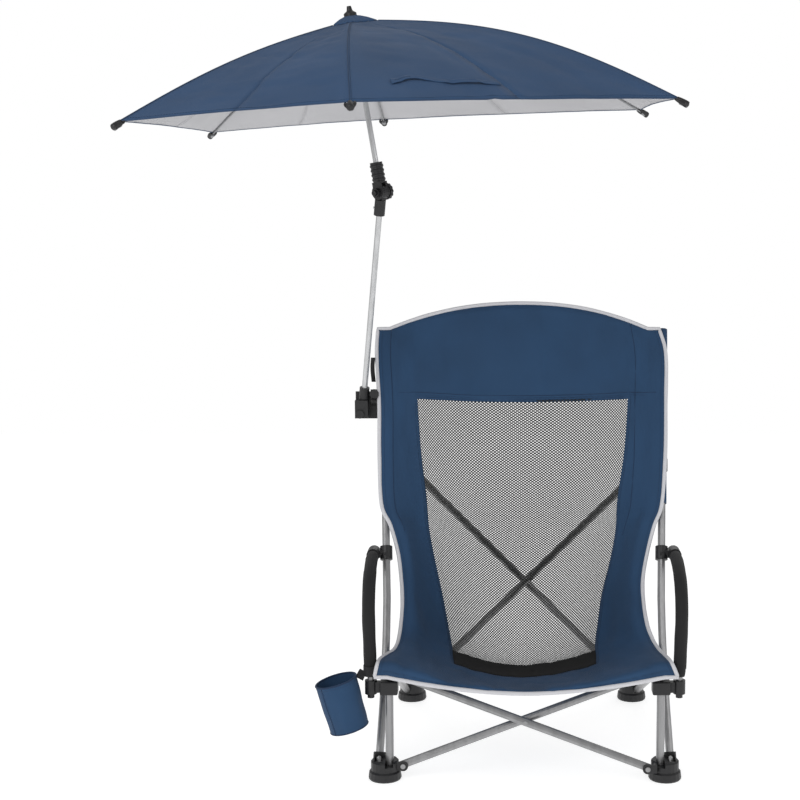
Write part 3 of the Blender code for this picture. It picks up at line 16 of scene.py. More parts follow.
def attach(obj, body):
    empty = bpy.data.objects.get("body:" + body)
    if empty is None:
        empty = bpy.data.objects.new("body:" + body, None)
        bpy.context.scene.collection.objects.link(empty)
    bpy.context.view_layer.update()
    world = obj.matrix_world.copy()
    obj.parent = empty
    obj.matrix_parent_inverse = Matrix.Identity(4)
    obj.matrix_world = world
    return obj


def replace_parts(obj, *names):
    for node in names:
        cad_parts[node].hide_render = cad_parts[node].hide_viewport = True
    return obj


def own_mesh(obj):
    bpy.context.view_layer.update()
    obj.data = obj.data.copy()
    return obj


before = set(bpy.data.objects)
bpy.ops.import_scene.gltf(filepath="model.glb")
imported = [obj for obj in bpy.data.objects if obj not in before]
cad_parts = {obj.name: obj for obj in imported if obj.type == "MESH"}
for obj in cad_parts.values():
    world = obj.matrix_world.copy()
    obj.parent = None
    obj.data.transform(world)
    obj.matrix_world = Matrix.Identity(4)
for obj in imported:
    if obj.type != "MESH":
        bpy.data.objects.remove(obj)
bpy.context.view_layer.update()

LOG = logging.getLogger("beach_chair")

ORIGIN = Vector((0.201821, -0.213611, 0.0))
UP = Vector((0.0, 0.0, 1.0))
RIGHT = Vector((1.0, 0.0, 0.0))
BACK = Vector((0.0, 1.0, 0.0))

Row = list[Vector]


class Side(Enum):
    """Side of the chair, as seen from the front."""

    LEFT = -1
    RIGHT = 1

    @property
    def word(self) -> str:
        """Word that the CAD nodes and bodies use for this side."""
        return self.name.lower()

    def point(self, x: float, y: float, z: float) -> Vector:
        """Point given for the right side, moved to this side and into the CAD frame."""
        return ORIGIN + Vector((self.value * x, y, z))


class Slot(Enum):
    """Material slots that the finishes are labelled with."""

    STEEL = "steel"
    PLASTIC = "plastic"
    SLEEVE = "sleeve"
    CLOTH = "cloth"
    NETTING = "netting"
    ALLOY = "alloy"
    RIB = "rib"


def srgb(red: int, green: int, blue: int) -> tuple[float, float, float]:
    """Linear colour of a colour written as it shows on screen."""
    shares = (red / 255, green / 255, blue / 255)
    return tuple(s / 12.92 if s <= 0.04045 else ((s + 0.055) / 1.055) ** 2.4 for s in shares)


class NodeDesk:
    """Short ways to add and join nodes of one material."""

    def __init__(self, name: str) -> None:
        """Open a new material.

        Args:
            name: The material's name.
        """
        self.material = bpy.data.materials.new(name)
        self.material.use_nodes = True
        self.tree = self.material.node_tree
        self.shader = self.tree.nodes["Principled BSDF"]

    def add(self, kind: str, **values: object) -> bpy.types.Node:
        """Add a node and set its named properties or input sockets.

        Args:
            kind: Blender's name of the node type.
            values: Properties, or sockets with their spaces as underscores.

        Returns:
            The new node.
        """
        node = self.tree.nodes.new(kind)
        for key, value in values.items():
            if hasattr(node, key):
                setattr(node, key, value)
            else:
                node.inputs[key.replace("_", " ")].default_value = value
        return node

    def link(self, source: bpy.types.NodeSocket, target: bpy.types.NodeSocket) -> None:
        """Join an output to an input."""
        self.tree.links.new(source, target)

    def math(self, operation: str, first: object, second: object = 0.0) -> bpy.types.NodeSocket:
        """Add a math node.

        Args:
            operation: Blender's name of the operation.
            first: Socket or number.
            second: Socket or number.

        Returns:
            The node's output.
        """
        node = self.add("ShaderNodeMath", operation=operation)
        for socket, value in zip(node.inputs, (first, second)):
            if isinstance(value, bpy.types.NodeSocket):
                self.link(value, socket)
            else:
                socket.default_value = value
        return node.outputs[0]

    def position(self, coordinates: str, scale: tuple[float, float, float]) -> bpy.types.NodeSocket:
        """Texture position in metres times a scale.

        Args:
            coordinates: Output of the texture coordinate node.
            scale: Repeats per metre along each axis.

        Returns:
            The scaled position.
        """
        source = self.add("ShaderNodeTexCoord")
        mapping = self.add("ShaderNodeMapping")
        mapping.inputs["Scale"].default_value = scale
        self.link(source.outputs[coordinates], mapping.inputs["Vector"])
        return mapping.outputs["Vector"]

    def mottle(self, where: bpy.types.NodeSocket, colour: tuple[float, float, float], spread: float) -> None:
        """Vary the base colour softly with noise.

        Args:
            where: Texture position.
            colour: Linear base colour.
            spread: Share by which the colour gets lighter and darker.
        """
        cloud = self.add("ShaderNodeTexNoise", Scale=1.0, Detail=3.0)
        self.link(where, cloud.inputs["Vector"])
        ramp = self.add("ShaderNodeValToRGB")
        for element, factor in zip(ramp.color_ramp.elements, (1.0 - spread, 1.0 + spread)):
            element.color = (*(min(value * factor, 1.0) for value in colour), 1.0)
        ramp.color_ramp.elements[0].position = 0.3
        ramp.color_ramp.elements[1].position = 0.7
        self.link(cloud.outputs["Fac"], ramp.inputs["Fac"])
        self.link(ramp.outputs["Color"], self.shader.inputs["Base Color"])

    def bump(self, height: bpy.types.NodeSocket, distance: float, strength: float) -> None:
        """Bump the surface by a height.

        Args:
            height: Height from 0 to 1.
            distance: Depth in metres that a height of 1 stands for.
            strength: Share of the effect.
        """
        node = self.add("ShaderNodeBump", Strength=strength, Distance=distance)
        self.link(height, node.inputs["Height"])
        self.link(node.outputs["Normal"], self.shader.inputs["Normal"])


@dataclass(frozen=True)
class Finish:
    """Plain moulded or painted finish with a soft variation of its colour."""

    name: str
    slot: Slot
    colour: tuple[float, float, float]
    roughness: float
    metallic: float = 0.0
    spread: float = 0.12
    grain: float = 90.0

    def material(self) -> bpy.types.Material:
        """Build the finish's material, once.

        Returns:
            The material.
        """
        found = bpy.data.materials.get(self.name)
        if found:
            return found
        desk = NodeDesk(self.name)
        desk.shader.inputs["Roughness"].default_value = self.roughness
        desk.shader.inputs["Metallic"].default_value = self.metallic
        self.surface(desk)
        return desk.material

    def surface(self, desk: NodeDesk) -> None:
        """Colour and relief of a fine-grained moulded surface.

        Args:
            desk: The material's nodes.
        """
        where = desk.position("Object", (self.grain,) * 3)
        desk.mottle(where, self.colour, self.spread)
        grit = desk.add("ShaderNodeTexNoise", Scale=14.0, Detail=2.0)
        desk.link(where, grit.inputs["Vector"])
        desk.bump(grit.outputs["Fac"], 0.0002, 0.25)


@dataclass(frozen=True)
class DrawnMetal(Finish):
    """Drawn tube with faint streaks along its length."""

    def surface(self, desk: NodeDesk) -> None:
        """Colour and roughness of a drawn metal surface.

        Args:
            desk: The material's nodes.
        """
        where = desk.position("Object", (self.grain, self.grain, self.grain / 12))
        desk.mottle(where, self.colour, self.spread)
        streak = desk.add("ShaderNodeTexNoise", Scale=6.0, Detail=2.0)
        desk.link(where, streak.inputs["Vector"])
        level = desk.math("MULTIPLY_ADD", streak.outputs["Fac"], 0.2)
        level.node.inputs[2].default_value = self.roughness - 0.1
        desk.link(level, desk.shader.inputs["Roughness"])


@dataclass(frozen=True)
class WovenCloth(Finish):
    """Woven cloth: crossing threads and a soft mottle, laid out in the sheet's own metres."""

    thread: float = 0.0011
    relief: float = 0.00025

    def surface(self, desk: NodeDesk) -> None:
        """Colour and relief of a plain weave.

        Args:
            desk: The material's nodes.
        """
        desk.mottle(desk.position("UV", (9.0, 5.0, 9.0)), self.colour, self.spread)
        turns = math.tau / (self.thread * 2)
        split = desk.add("ShaderNodeSeparateXYZ")
        desk.link(desk.position("UV", (turns, turns, turns)), split.inputs["Vector"])
        across = desk.math("SINE", split.outputs["X"])
        along = desk.math("SINE", split.outputs["Y"])
        height = desk.math("MULTIPLY", across, along)
        desk.bump(height, self.relief, 0.5)
        desk.shader.inputs["Sheen Weight"].default_value = 0.03
        desk.shader.inputs["Sheen Roughness"].default_value = 0.5


@dataclass(frozen=True)
class Netting(Finish):
    """Knitted netting: round holes in a staggered pattern."""

    pitch: float = 0.0034
    open_level: float = 0.24

    def surface(self, desk: NodeDesk) -> None:
        """Colour and holes of the netting.

        Args:
            desk: The material's nodes.
        """
        desk.mottle(desk.position("UV", (14.0, 14.0, 14.0)), self.colour, self.spread)
        turns = math.tau / self.pitch / 2
        split = desk.add("ShaderNodeSeparateXYZ")
        scale = (turns, turns / 0.86, turns)
        desk.link(desk.position("UV", scale), split.inputs["Vector"])
        across = desk.math("COSINE", split.outputs["X"])
        along = desk.math("COSINE", split.outputs["Y"])
        wave = desk.math("MULTIPLY", across, along)
        hole = desk.math("GREATER_THAN", wave, self.open_level)
        thread = desk.math("SUBTRACT", 1.0, hole)
        desk.link(thread, desk.shader.inputs["Alpha"])
        desk.bump(wave, 0.0003, 0.4)


@dataclass(frozen=True)
class Webbing(Finish):
    """Ribbed strap webbing or elastic band."""

    rib: float = 0.0022

    def surface(self, desk: NodeDesk) -> None:
        """Colour and ribs of the webbing.

        Args:
            desk: The material's nodes.
        """
        desk.mottle(desk.position("UV", (40.0, 40.0, 40.0)), self.colour, self.spread)
        split = desk.add("ShaderNodeSeparateXYZ")
        turns = math.tau / self.rib
        desk.link(desk.position("UV", (turns, turns, turns)), split.inputs["Vector"])
        desk.bump(desk.math("SINE", split.outputs["X"]), 0.0005, 0.7)


@dataclass(frozen=True)
class GlowingFloor(Finish):
    """White studio floor, lit a little from itself so that only soft contact shadows show."""

    glow: float = 0.74

    def surface(self, desk: NodeDesk) -> None:
        """Even pale surface with its own soft light.

        Args:
            desk: The material's nodes.
        """
        desk.mottle(desk.position("Object", (self.grain,) * 3), self.colour, self.spread)
        desk.shader.inputs["Emission Color"].default_value = (1.0, 1.0, 1.0, 1.0)
        desk.shader.inputs["Emission Strength"].default_value = self.glow


SEAT_CLOTH = WovenCloth("seat_cloth", Slot.CLOTH, srgb(30, 64, 98), 0.85, spread=0.12)
# The canopy is the same blue fabric as the seat. This colour is lighter than the seat cloth's, and the extra
# lightness is painted light from above.
CANOPY_CLOTH_PAINTED_LIGHT = WovenCloth("canopy_cloth", Slot.CLOTH, srgb(42, 75, 113), 0.75, spread=0.10)
SEAM_CLOTH = WovenCloth("seam_cloth", Slot.CLOTH, srgb(22, 48, 78), 0.85, spread=0.06)
# Canopy seams, coloured lighter than the seat's seams: the extra lightness is painted light from above.
CANOPY_SEAM_PAINTED_LIGHT = WovenCloth("canopy_seam_cloth", Slot.CLOTH, srgb(40, 66, 98), 0.8, spread=0.06)
LINING = WovenCloth("silver_lining", Slot.CLOTH, srgb(184, 184, 187), 0.6, spread=0.04)
PIPING = WovenCloth("light_piping", Slot.CLOTH, srgb(206, 206, 210), 0.75, spread=0.05, thread=0.0016)
MESH = Netting("black_netting", Slot.NETTING, srgb(40, 41, 40), 0.85)
# Near-black band at the netting's lower end: partly the band's own black, partly painted shade for the dark
# seen through the netting there.
BAND_AND_SHADE = Webbing("black_band_and_shade", Slot.NETTING, srgb(22, 22, 22), 0.9)
STRAP = Webbing("black_strap", Slot.SLEEVE, srgb(36, 36, 38), 0.85)
SLEEVE = WovenCloth("black_sleeve", Slot.SLEEVE, srgb(26, 26, 27), 0.9, thread=0.0018, relief=0.0004)
PLASTIC = Finish("black_plastic", Slot.PLASTIC, srgb(24, 24, 26), 0.45, spread=0.2)
STEEL = DrawnMetal("grey_steel", Slot.STEEL, srgb(150, 150, 151), 0.34, 0.75)
ALLOY = DrawnMetal("bright_alloy", Slot.ALLOY, srgb(196, 197, 198), 0.3, 0.8)
RIB_METAL = DrawnMetal("rib_metal", Slot.RIB, srgb(140, 141, 143), 0.4, 0.6)
FLOOR = GlowingFloor("pale_floor", Slot.STEEL, (0.5, 0.5, 0.5), 0.9, spread=0.005, grain=2.0)


def on_curve(nodes: Sequence[Vector], place: float) -> Vector:
    """Point on the smooth curve through nodes.

    Args:
        nodes: Points that the curve passes.
        place: Place along the curve, counted in nodes from 0.

    Returns:
        The point.
    """
    index = max(0, min(int(place), len(nodes) - 2))
    t = place - index
    second, third = nodes[index], nodes[index + 1]
    first = nodes[index - 1] if index else second * 2 - third
    fourth = nodes[index + 2] if index + 2 < len(nodes) else third * 2 - second
    bend = second * 2 + (third - first) * t
    bend += (first * 2 - second * 5 + third * 4 - fourth) * t ** 2
    bend += (second * 3 - first - third * 3 + fourth) * t ** 3
    return bend / 2


def spread(first: float, last: float, count: int) -> list[float]:
    """Evenly spread values, both ends included."""
    return [first + (last - first) * step / count for step in range(count + 1)]


def wave(point: Vector, size: float, seed: float) -> float:
    """Smooth noise between -1 and 1."""
    return noise.noise(point / size + Vector((seed, seed * 2, seed * 3)))


@dataclass(frozen=True)
class Swell:
    """Soft unevenness of cloth: the size of one swell, a shift of the pattern, and the height."""

    size: float
    seed: float
    height: float

    def at(self, point: Vector) -> float:
        """Height of the swell at a point."""
        return wave(point, self.size, self.seed) * self.height

    def fold(self, point: Vector, sharpness: int) -> float:
        """Depth of narrow creases that run between the swells."""
        return (1 - abs(wave(point, self.size, self.seed))) ** sharpness * self.height


def build_mesh(
    name: str, points: Sequence[Vector], faces: Sequence[Sequence[int]], finish: Finish
) -> bpy.types.Object:
    """Object from points and faces, shaded smooth, with its finish.

    Args:
        name: The object's name.
        points: Points in the CAD frame.
        faces: Indices of each face's points.
        finish: What it is made of.

    Returns:
        The object.
    """
    mesh = bpy.data.meshes.new(name)
    mesh.from_pydata([tuple(point) for point in points], [], faces)
    mesh.shade_smooth()
    mesh.materials.append(finish.material())
    obj = bpy.data.objects.new(name, mesh)
    bpy.context.scene.collection.objects.link(obj)
    return obj


def grid_sheet(
    name: str,
    rows: Sequence[Row],
    finish: Finish,
    closed: bool = False,
    wanted: Optional[Callable[[int, int], bool]] = None,
) -> bpy.types.Object:
    """Sheet over a grid of points, with its texture laid out in metres.

    Args:
        name: The object's name.
        rows: Rows of points, all of one length.
        finish: What it is made of.
        closed: Whether each row closes into a ring.
        wanted: Says for a row and a column whether that face is there.

    Returns:
        The object.
    """
    count = len(rows[0])
    columns = count if closed else count - 1
    middle = rows[len(rows) // 2]
    across = [0.0]
    for column in range(columns):
        across.append(across[-1] + (middle[(column + 1) % count] - middle[column]).length)
    along = [0.0]
    for above, below in zip(rows, rows[1:]):
        along.append(along[-1] + (below[count // 2] - above[count // 2]).length)
    faces, places = [], []
    for row in range(len(rows) - 1):
        for column in range(columns):
            if wanted is None or wanted(row, column):
                after = (column + 1) % count
                faces.append((
                    row * count + column, (row + 1) * count + column,
                    (row + 1) * count + after, row * count + after,
                ))
                places += [
                    (across[column], along[row]), (across[column], along[row + 1]),
                    (across[column + 1], along[row + 1]), (across[column + 1], along[row]),
                ]
    obj = build_mesh(name, [point for row in rows for point in row], faces, finish)
    layer = obj.data.uv_layers.new(name="metres")
    for loop, place in zip(layer.data, places):
        loop.uv = place
    return obj


def thicken(obj: bpy.types.Object, thickness: float, lining: Optional[Finish] = None) -> bpy.types.Object:
    """Give a sheet its thickness, and another finish on its back if asked.

    Args:
        obj: The sheet.
        thickness: Its thickness.
        lining: Finish of its back.

    Returns:
        The same object.
    """
    shell = obj.modifiers.new("thickness", "SOLIDIFY")
    shell.thickness = thickness
    shell.offset = 0.0
    if lining:
        obj.data.materials.append(lining.material())
        shell.material_offset = 1
    return obj


def circle(middle: Vector, side: Vector, over: Vector, radius: float, count: int) -> Row:
    """Points of a circle."""
    turns = (math.tau * step / count for step in range(count))
    return [middle + (side * math.cos(turn) + over * math.sin(turn)) * radius for turn in turns]


def sweep(
    name: str,
    path: Sequence[Vector],
    radii: float | Sequence[float],
    finish: Finish,
    sides: int = 12,
    closed: bool = False,
    hint: Vector = UP,
) -> bpy.types.Object:
    """Round bar along a path, closed at each end by a flat face.

    Args:
        name: The object's name.
        path: Middle line.
        radii: One radius, or one for each point.
        finish: What it is made of.
        sides: Sides of its section.
        closed: Whether the path closes into a loop.
        hint: Direction that the first section starts from.

    Returns:
        The object.
    """
    sizes = [radii] * len(path) if isinstance(radii, float) else list(radii)
    last = len(path) - 1
    rows, normal = [], hint
    for index, point in enumerate(path):
        before = path[index - 1] if index or closed else point
        after = path[(index + 1) % len(path)] if index < last or closed else point
        ahead = (after - before).normalized()
        normal = (normal - ahead * normal.dot(ahead)).normalized()
        side = ahead.cross(normal)
        rows.append(circle(point, normal, side, sizes[index], sides))
    if closed:
        rows.append(rows[0])
    obj = grid_sheet(name, rows, finish, closed=True)
    if closed:
        weld(obj)
    else:
        cap_ends(obj, sides, len(rows))
    return obj


def weld(obj: bpy.types.Object) -> None:
    """Join points of a mesh that lie in the same place."""
    step = obj.modifiers.new("weld", "WELD")
    step.merge_threshold = 0.00001


def cap_ends(obj: bpy.types.Object, sides: int, rows: int) -> None:
    """Close both ends of a swept bar with a face each.

    Args:
        obj: The bar.
        sides: Sides of its section.
        rows: Number of its sections.
    """
    mesh = obj.data
    points = [vert.co.copy() for vert in mesh.vertices]
    faces = [tuple(face.vertices) for face in mesh.polygons]
    places = [tuple(loop.uv) for loop in mesh.uv_layers[0].data]
    faces += [tuple(range(sides)), tuple(reversed(range((rows - 1) * sides, rows * sides)))]
    places += [(0.0, 0.0)] * (sides * 2)
    mesh.clear_geometry()
    mesh.from_pydata([tuple(point) for point in points], [], faces)
    mesh.shade_smooth()
    layer = mesh.uv_layers.get("metres") or mesh.uv_layers.new(name="metres")
    for loop, place in zip(layer.data, places):
        loop.uv = place


def strip(
    name: str,
    path: Sequence[Vector],
    across: Sequence[Vector],
    width: float,
    thickness: float,
    finish: Finish,
) -> bpy.types.Object:
    """Flat strap or seam allowance along a path.

    Args:
        name: The object's name.
        path: Middle line.
        across: Direction of its width at each point.
        width: Its width.
        thickness: Its thickness.
        finish: What it is made of.

    Returns:
        The object.
    """
    shares = spread(-0.5, 0.5, 4)
    rows = [[point + side * (width * share) for share in shares] for point, side in zip(path, across)]
    return thicken(grid_sheet(name, rows, finish), thickness)


@dataclass(frozen=True)
class Thread:
    """Sewing thread laid as single stitches."""

    length: float = 0.0032
    gap: float = 0.0016
    radius: float = 0.0003
    finish: Finish = SEAM_CLOTH

    def sew(self, name: str, path: Sequence[Vector]) -> bpy.types.Object:
        """Lay stitches along a path.

        Args:
            name: The object's name.
            path: Line of the stitches, on the cloth's face.

        Returns:
            The object that holds all the stitches.
        """
        points, faces = [], []
        left, inside = self.length, True
        for start, end in zip(path, path[1:]):
            ahead = end - start
            reach, done = ahead.length, 0.0
            if reach < self.radius:
                continue
            ahead.normalize()
            while done < reach:
                step = min(left, reach - done)
                if inside:
                    self.dash(points, faces, start + ahead * done, ahead, step)
                done += step
                left -= step
                if left <= self.radius / 10:
                    inside = not inside
                    left = self.length if inside else self.gap
        return build_mesh(name, points, faces, self.finish)

    def dash(
        self, points: Row, faces: list[tuple[int, ...]], start: Vector, ahead: Vector, length: float
    ) -> None:
        """Add one straight piece of thread to a list of points and faces.

        Args:
            points: Points so far.
            faces: Faces so far.
            start: Where it starts.
            ahead: Its direction.
            length: Its length.
        """
        side = ahead.cross(BACK if abs(ahead.y) < abs(ahead.z) + abs(ahead.x) else UP).normalized()
        over = ahead.cross(side)
        first = len(points)
        for share in (0.0, 1.0):
            for turn in (0.0, math.pi / 2, math.pi, math.pi * 3 / 2):
                around = side * math.cos(turn) + over * math.sin(turn)
                points.append(start + ahead * (length * share) + around * self.radius)
        for corner in range(4):
            after = (corner + 1) % 4
            faces.append((first + corner, first + 4 + corner, first + 4 + after, first + after))
        faces.append((first + 3, first + 2, first + 1, first))
        faces.append((first + 4, first + 5, first + 6, first + 7))


def nodes_of(*places: tuple[float, float, float]) -> Row:
    """Points of a curve, moved into the CAD frame."""
    return [ORIGIN + Vector(place) for place in places]


@dataclass
class SlingSeat:
    """Sling seat: cloth with a netting window, light piping, seams and pockets on the back posts.

    Its lines run from the top of the back to the front lip, and places are counted along them in nodes.
    """

    centre_line: tuple[tuple[float, float], ...] = (
        (0.402, 0.908), (0.375, 0.800), (0.345, 0.700), (0.322, 0.600), (0.325, 0.500),
        (0.345, 0.410), (0.356, 0.337), (0.352, 0.250), (0.337, 0.190), (0.297, 0.150),
        (0.240, 0.143), (0.170, 0.149), (0.100, 0.160), (0.035, 0.173), (-0.012, 0.184),
        (-0.030, 0.186), (-0.034, 0.181),
    )
    edge_line: tuple[tuple[float, float], ...] = (
        (0.398, 0.853), (0.370, 0.800), (0.322, 0.700), (0.274, 0.600), (0.227, 0.502),
        (0.209, 0.460), (0.200, 0.405), (0.190, 0.350), (0.170, 0.305), (0.140, 0.268),
        (0.115, 0.248), (0.090, 0.241), (0.060, 0.239), (0.030, 0.2395), (-0.002, 0.240),
        (-0.029, 0.237), (-0.035, 0.214),
    )
    left_reaches: tuple[float, ...] = (
        0.3130, 0.3138, 0.3055, 0.3020, 0.2950, 0.2750, 0.2595, 0.2525, 0.2495, 0.2510,
        0.2535, 0.2560, 0.2610, 0.2720, 0.2820, 0.2850, 0.2900,
    )
    right_reaches: tuple[float, ...] = (
        0.2940, 0.3060, 0.3020, 0.2972, 0.2860, 0.2690, 0.2545, 0.2450, 0.2455, 0.2505,
        0.2580, 0.2630, 0.2675, 0.2725, 0.2780, 0.2830, 0.2930,
    )
    window_shares: tuple[float, ...] = (
        0.735, 0.735, 0.735, 0.715, 0.690, 0.720, 0.720, 0.680, 0.643, 0.600,
        0.580, 0.558, 0.550, 0.550, 0.550, 0.550, 0.550,
    )
    hem: float = 0.025
    back_power: float = 2.2
    seat_power: float = 1.8
    window_top: float = 2.0
    window_low: float = 11.0
    band_top: float = 9.5
    corner_rise: float = 0.085
    thickness: float = 0.0016
    netting_thickness: float = 0.0004
    band_thickness: float = 0.0012
    rows_per_node: int = 6
    side_columns: int = 12
    middle_columns: int = 36
    piping_radius: float = 0.0040
    pocket_radius: float = 0.0092
    pocket_thickness: float = 0.0012
    pocket_low: float = 0.500
    pocket_top: float = 0.850
    post_low: tuple[float, float, float] = (0.2795, 0.155, 0.320)
    post_top: tuple[float, float, float] = (0.3030, 0.410, 0.850)
    fold_keep: float = 0.784
    seam_radius: float = 0.0007
    stitch_lift: float = 0.0010
    stitch_clearance: float = 0.0002
    stitch_step: float = 0.05
    yoke_place: float = 1.87
    yoke_shares: tuple[float, float] = (-0.86, 0.93)
    panel_shares: tuple[float, float] = (-0.905, 0.785)
    panel_places: tuple[float, float] = (0.1, 5.2)
    window_outset_share: float = 0.02
    window_tuck_share: float = 0.018
    edge_stitch_share: float = 0.965
    lip_stitch_share: float = 0.95
    lip_stitch_inset: float = 0.45
    pocket_sides: int = 28
    pocket_slack_share: float = 0.05
    seat_start: float = 8.5
    cloth_cut: tuple[float, float] = (0.66, 1.20)
    cloth_area: float = 0.36
    netting_cut: tuple[float, float] = (0.44, 0.75)
    netting_area: float = 0.27
    broad: Swell = Swell(0.11, 3.1, 0.0060)
    yoke: Swell = Swell(0.06, 8.2, 0.0062)
    fine: Swell = Swell(0.05, 5.7, 0.0034)
    creases: Swell = Swell(0.08, 6.6, 0.0026)
    tucks: Swell = Swell(0.045, 1.9, 0.0060)

    def __post_init__(self) -> None:
        """Prepare the seat's curves."""
        self.centre = nodes_of(*((0.0, y, z) for y, z in self.centre_line))
        self.edges = {
            -1: nodes_of(*((-x, y, z) for x, (y, z) in zip(self.left_reaches, self.edge_line))),
            1: nodes_of(*((x, y, z) for x, (y, z) in zip(self.right_reaches, self.edge_line))),
        }
        self.shares = [Vector((share, 0.0, 0.0)) for share in self.window_shares]
        self.last = len(self.centre_line) - 1

    def opening(self, place: float) -> float:
        """Share of the half width at which the netting window ends."""
        return on_curve(self.shares, place).x

    def surface(self, place: float, share: float) -> Vector:
        """Point of the seat's surface without its wrinkles.

        Args:
            place: Place down the seat, in nodes.
            share: Place across, from -1 at the left edge to 1 at the right edge.

        Returns:
            The point.
        """
        near_top = math.exp(-(place - self.window_top) ** 2)
        lifted = min(abs(share) / self.opening(place), 1.0) ** 2 * near_top
        place = max(0.0, place - self.corner_rise * lifted)
        middle = on_curve(self.centre, place)
        edge = on_curve(self.edges[1 if share > 0 else -1], place)
        reach = abs(edge.x - middle.x)
        hem = 1 - self.hem / reach
        seat = min(max(place - self.seat_start, 0.0), 1.0)
        power = self.back_power + (self.seat_power - self.back_power) * seat
        sag = 1 - min(abs(share) / hem, 1.0) ** power
        point = edge.lerp(middle, sag)
        point.x = middle.x + share * reach
        return point

    def normal(self, place: float, share: float) -> Vector:
        """Direction off the seat's face, towards the sitter.

        Args:
            place: Place down the seat, in nodes.
            share: Place across.

        Returns:
            The direction.
        """
        step = 0.04
        low, top = min(place + step, self.last), max(place - step, 0.0)
        right, left = min(share + step, 1.0), max(share - step, -1.0)
        down = self.surface(low, share) - self.surface(top, share)
        across = self.surface(place, right) - self.surface(place, left)
        return down.cross(across).normalized()

    def wrinkle(self, place: float, share: float) -> float:
        """Height of the cloth's wrinkles over its smooth form.

        Args:
            place: Place down the seat, in nodes.
            share: Place across.

        Returns:
            The height.
        """
        point = self.surface(place, share)
        flat = Vector((point.x, 0.0, point.z * 0.5 + point.y * 0.5))
        broad = self.broad.at(Vector((flat.x, flat.y, flat.z * 1.6)))
        if place < self.window_top:
            slope = Vector((flat.x + flat.z * 1.3, 0.0, flat.z * 0.4))
            broad += self.yoke.at(slope)
        fine = self.fine.at(Vector((flat.x * 3.0, 0.0, flat.z)))
        fine -= self.creases.fold(Vector((flat.x + flat.z, 0.0, flat.z - flat.x * 0.3)), 6)
        pucker = math.exp(-((place - 9.2) / 1.3) ** 2) * max(abs(share) - 0.62, 0.0) * 2.5
        tucks = self.tucks.at(Vector((flat.x * 5.0, 0.0, flat.z))) * pucker
        calm = min((1 - abs(share)) / 0.16, 1.0)
        calm *= min(place / 0.25, 1.0) * min((self.last - place) / 0.4, 1.0)
        window = self.window_top - 0.3 < place < self.window_low + 0.3
        if window:
            calm *= min(abs(abs(share) - self.opening(place)) / 0.06, 1.0)
            calm *= 0.4 if abs(share) < self.opening(place) else 1.0
        return (broad + fine + tucks) * calm

    def face(self, place: float, share: float, off: float = 0.0) -> Vector:
        """Point of the wrinkled cloth, or a distance off its face."""
        height = self.wrinkle(place, share) + off
        return self.surface(place, share) + self.normal(place, share) * height

    def join(self, obj: bpy.types.Object) -> bpy.types.Object:
        """Attach a piece of the seat to the left side's body, and give it its own copy of its mesh.

        Args:
            obj: The piece.

        Returns:
            The same piece.
        """
        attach(obj, "left_side")
        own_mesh(obj)
        return obj

    def places(self) -> list[float]:
        """Rows of the cloth's grid, in nodes."""
        return spread(0.0, float(self.last), self.last * self.rows_per_node)

    def columns(self, place: float) -> list[float]:
        """Shares of the cloth's columns in a row.

        Args:
            place: Place down the seat, in nodes.

        Returns:
            The shares.
        """
        opening = self.opening(place)
        left = spread(-1.0, -opening, self.side_columns)
        middle = spread(-opening, opening, self.middle_columns)
        right = spread(opening, 1.0, self.side_columns)
        return left + middle[1:-1] + right

    def build_cloth(self) -> bpy.types.Object:
        """Cloth of the back and the seat, with the window left open.

        Returns:
            The cloth.
        """
        places = self.places()
        rows = [[self.face(place, share) for share in self.columns(place)] for place in places]
        top = round(self.window_top * self.rows_per_node)
        low = round(self.window_low * self.rows_per_node)
        inner = range(self.side_columns, self.side_columns + self.middle_columns)

        def wanted(row: int, column: int) -> bool:
            """Whether a face is cloth and not the window."""
            return not (top <= row < low and column in inner)

        return thicken(grid_sheet("seat_cloth", rows, SEAT_CLOTH, wanted=wanted), self.thickness)

    def build_netting(self) -> bpy.types.Object:
        """Netting in the window, tucked under the cloth's edges.

        Returns:
            The netting.
        """
        count = round((self.window_low - self.window_top) * self.rows_per_node)
        rows = []
        for place in spread(self.window_top - 0.04, self.window_low + 0.06, count):
            opening = self.opening(place) + self.window_tuck_share
            shares = spread(-opening, opening, self.middle_columns)
            rows.append([self.face(place, share) for share in shares])
        return thicken(grid_sheet("netting_panel", rows, MESH), self.netting_thickness)

    def build_band(self) -> bpy.types.Object:
        """Near-black ribbed band along the netting's lower end; its dark colour is partly painted shade seen
        through the netting there.

        Returns:
            The band.
        """
        rows = []
        for place in spread(self.band_top, self.window_low, 10):
            opening = self.opening(place)
            shares = spread(-opening, opening, self.middle_columns * 2)
            rows.append([self.face(place, share, self.band_thickness) for share in shares])
        return thicken(grid_sheet("netting_band", rows, BAND_AND_SHADE), self.band_thickness)

    def outline(self) -> Row:
        """Closed line round the edge of the cloth.

        Returns:
            Its points.
        """
        fine = spread(0.0, float(self.last), self.last * 8)
        across = spread(-1.0, 1.0, 48)
        line = [self.surface(place, -1.0) for place in reversed(fine)]
        line += [self.surface(0.0, share) for share in across[1:-1]]
        line += [self.surface(place, 1.0) for place in fine]
        line += [self.surface(float(self.last), share) for share in reversed(across[1:-1])]
        return line

    def build_piping(self) -> bpy.types.Object:
        """Light piping round the whole edge.

        Returns:
            The piping.
        """
        line = self.outline()
        radii = [self.piping_radius * (1 + wave(point, 0.05, 2.3) * 0.12) for point in line]
        return sweep("edge_piping", line, radii, PIPING, sides=12, closed=True, hint=BACK)

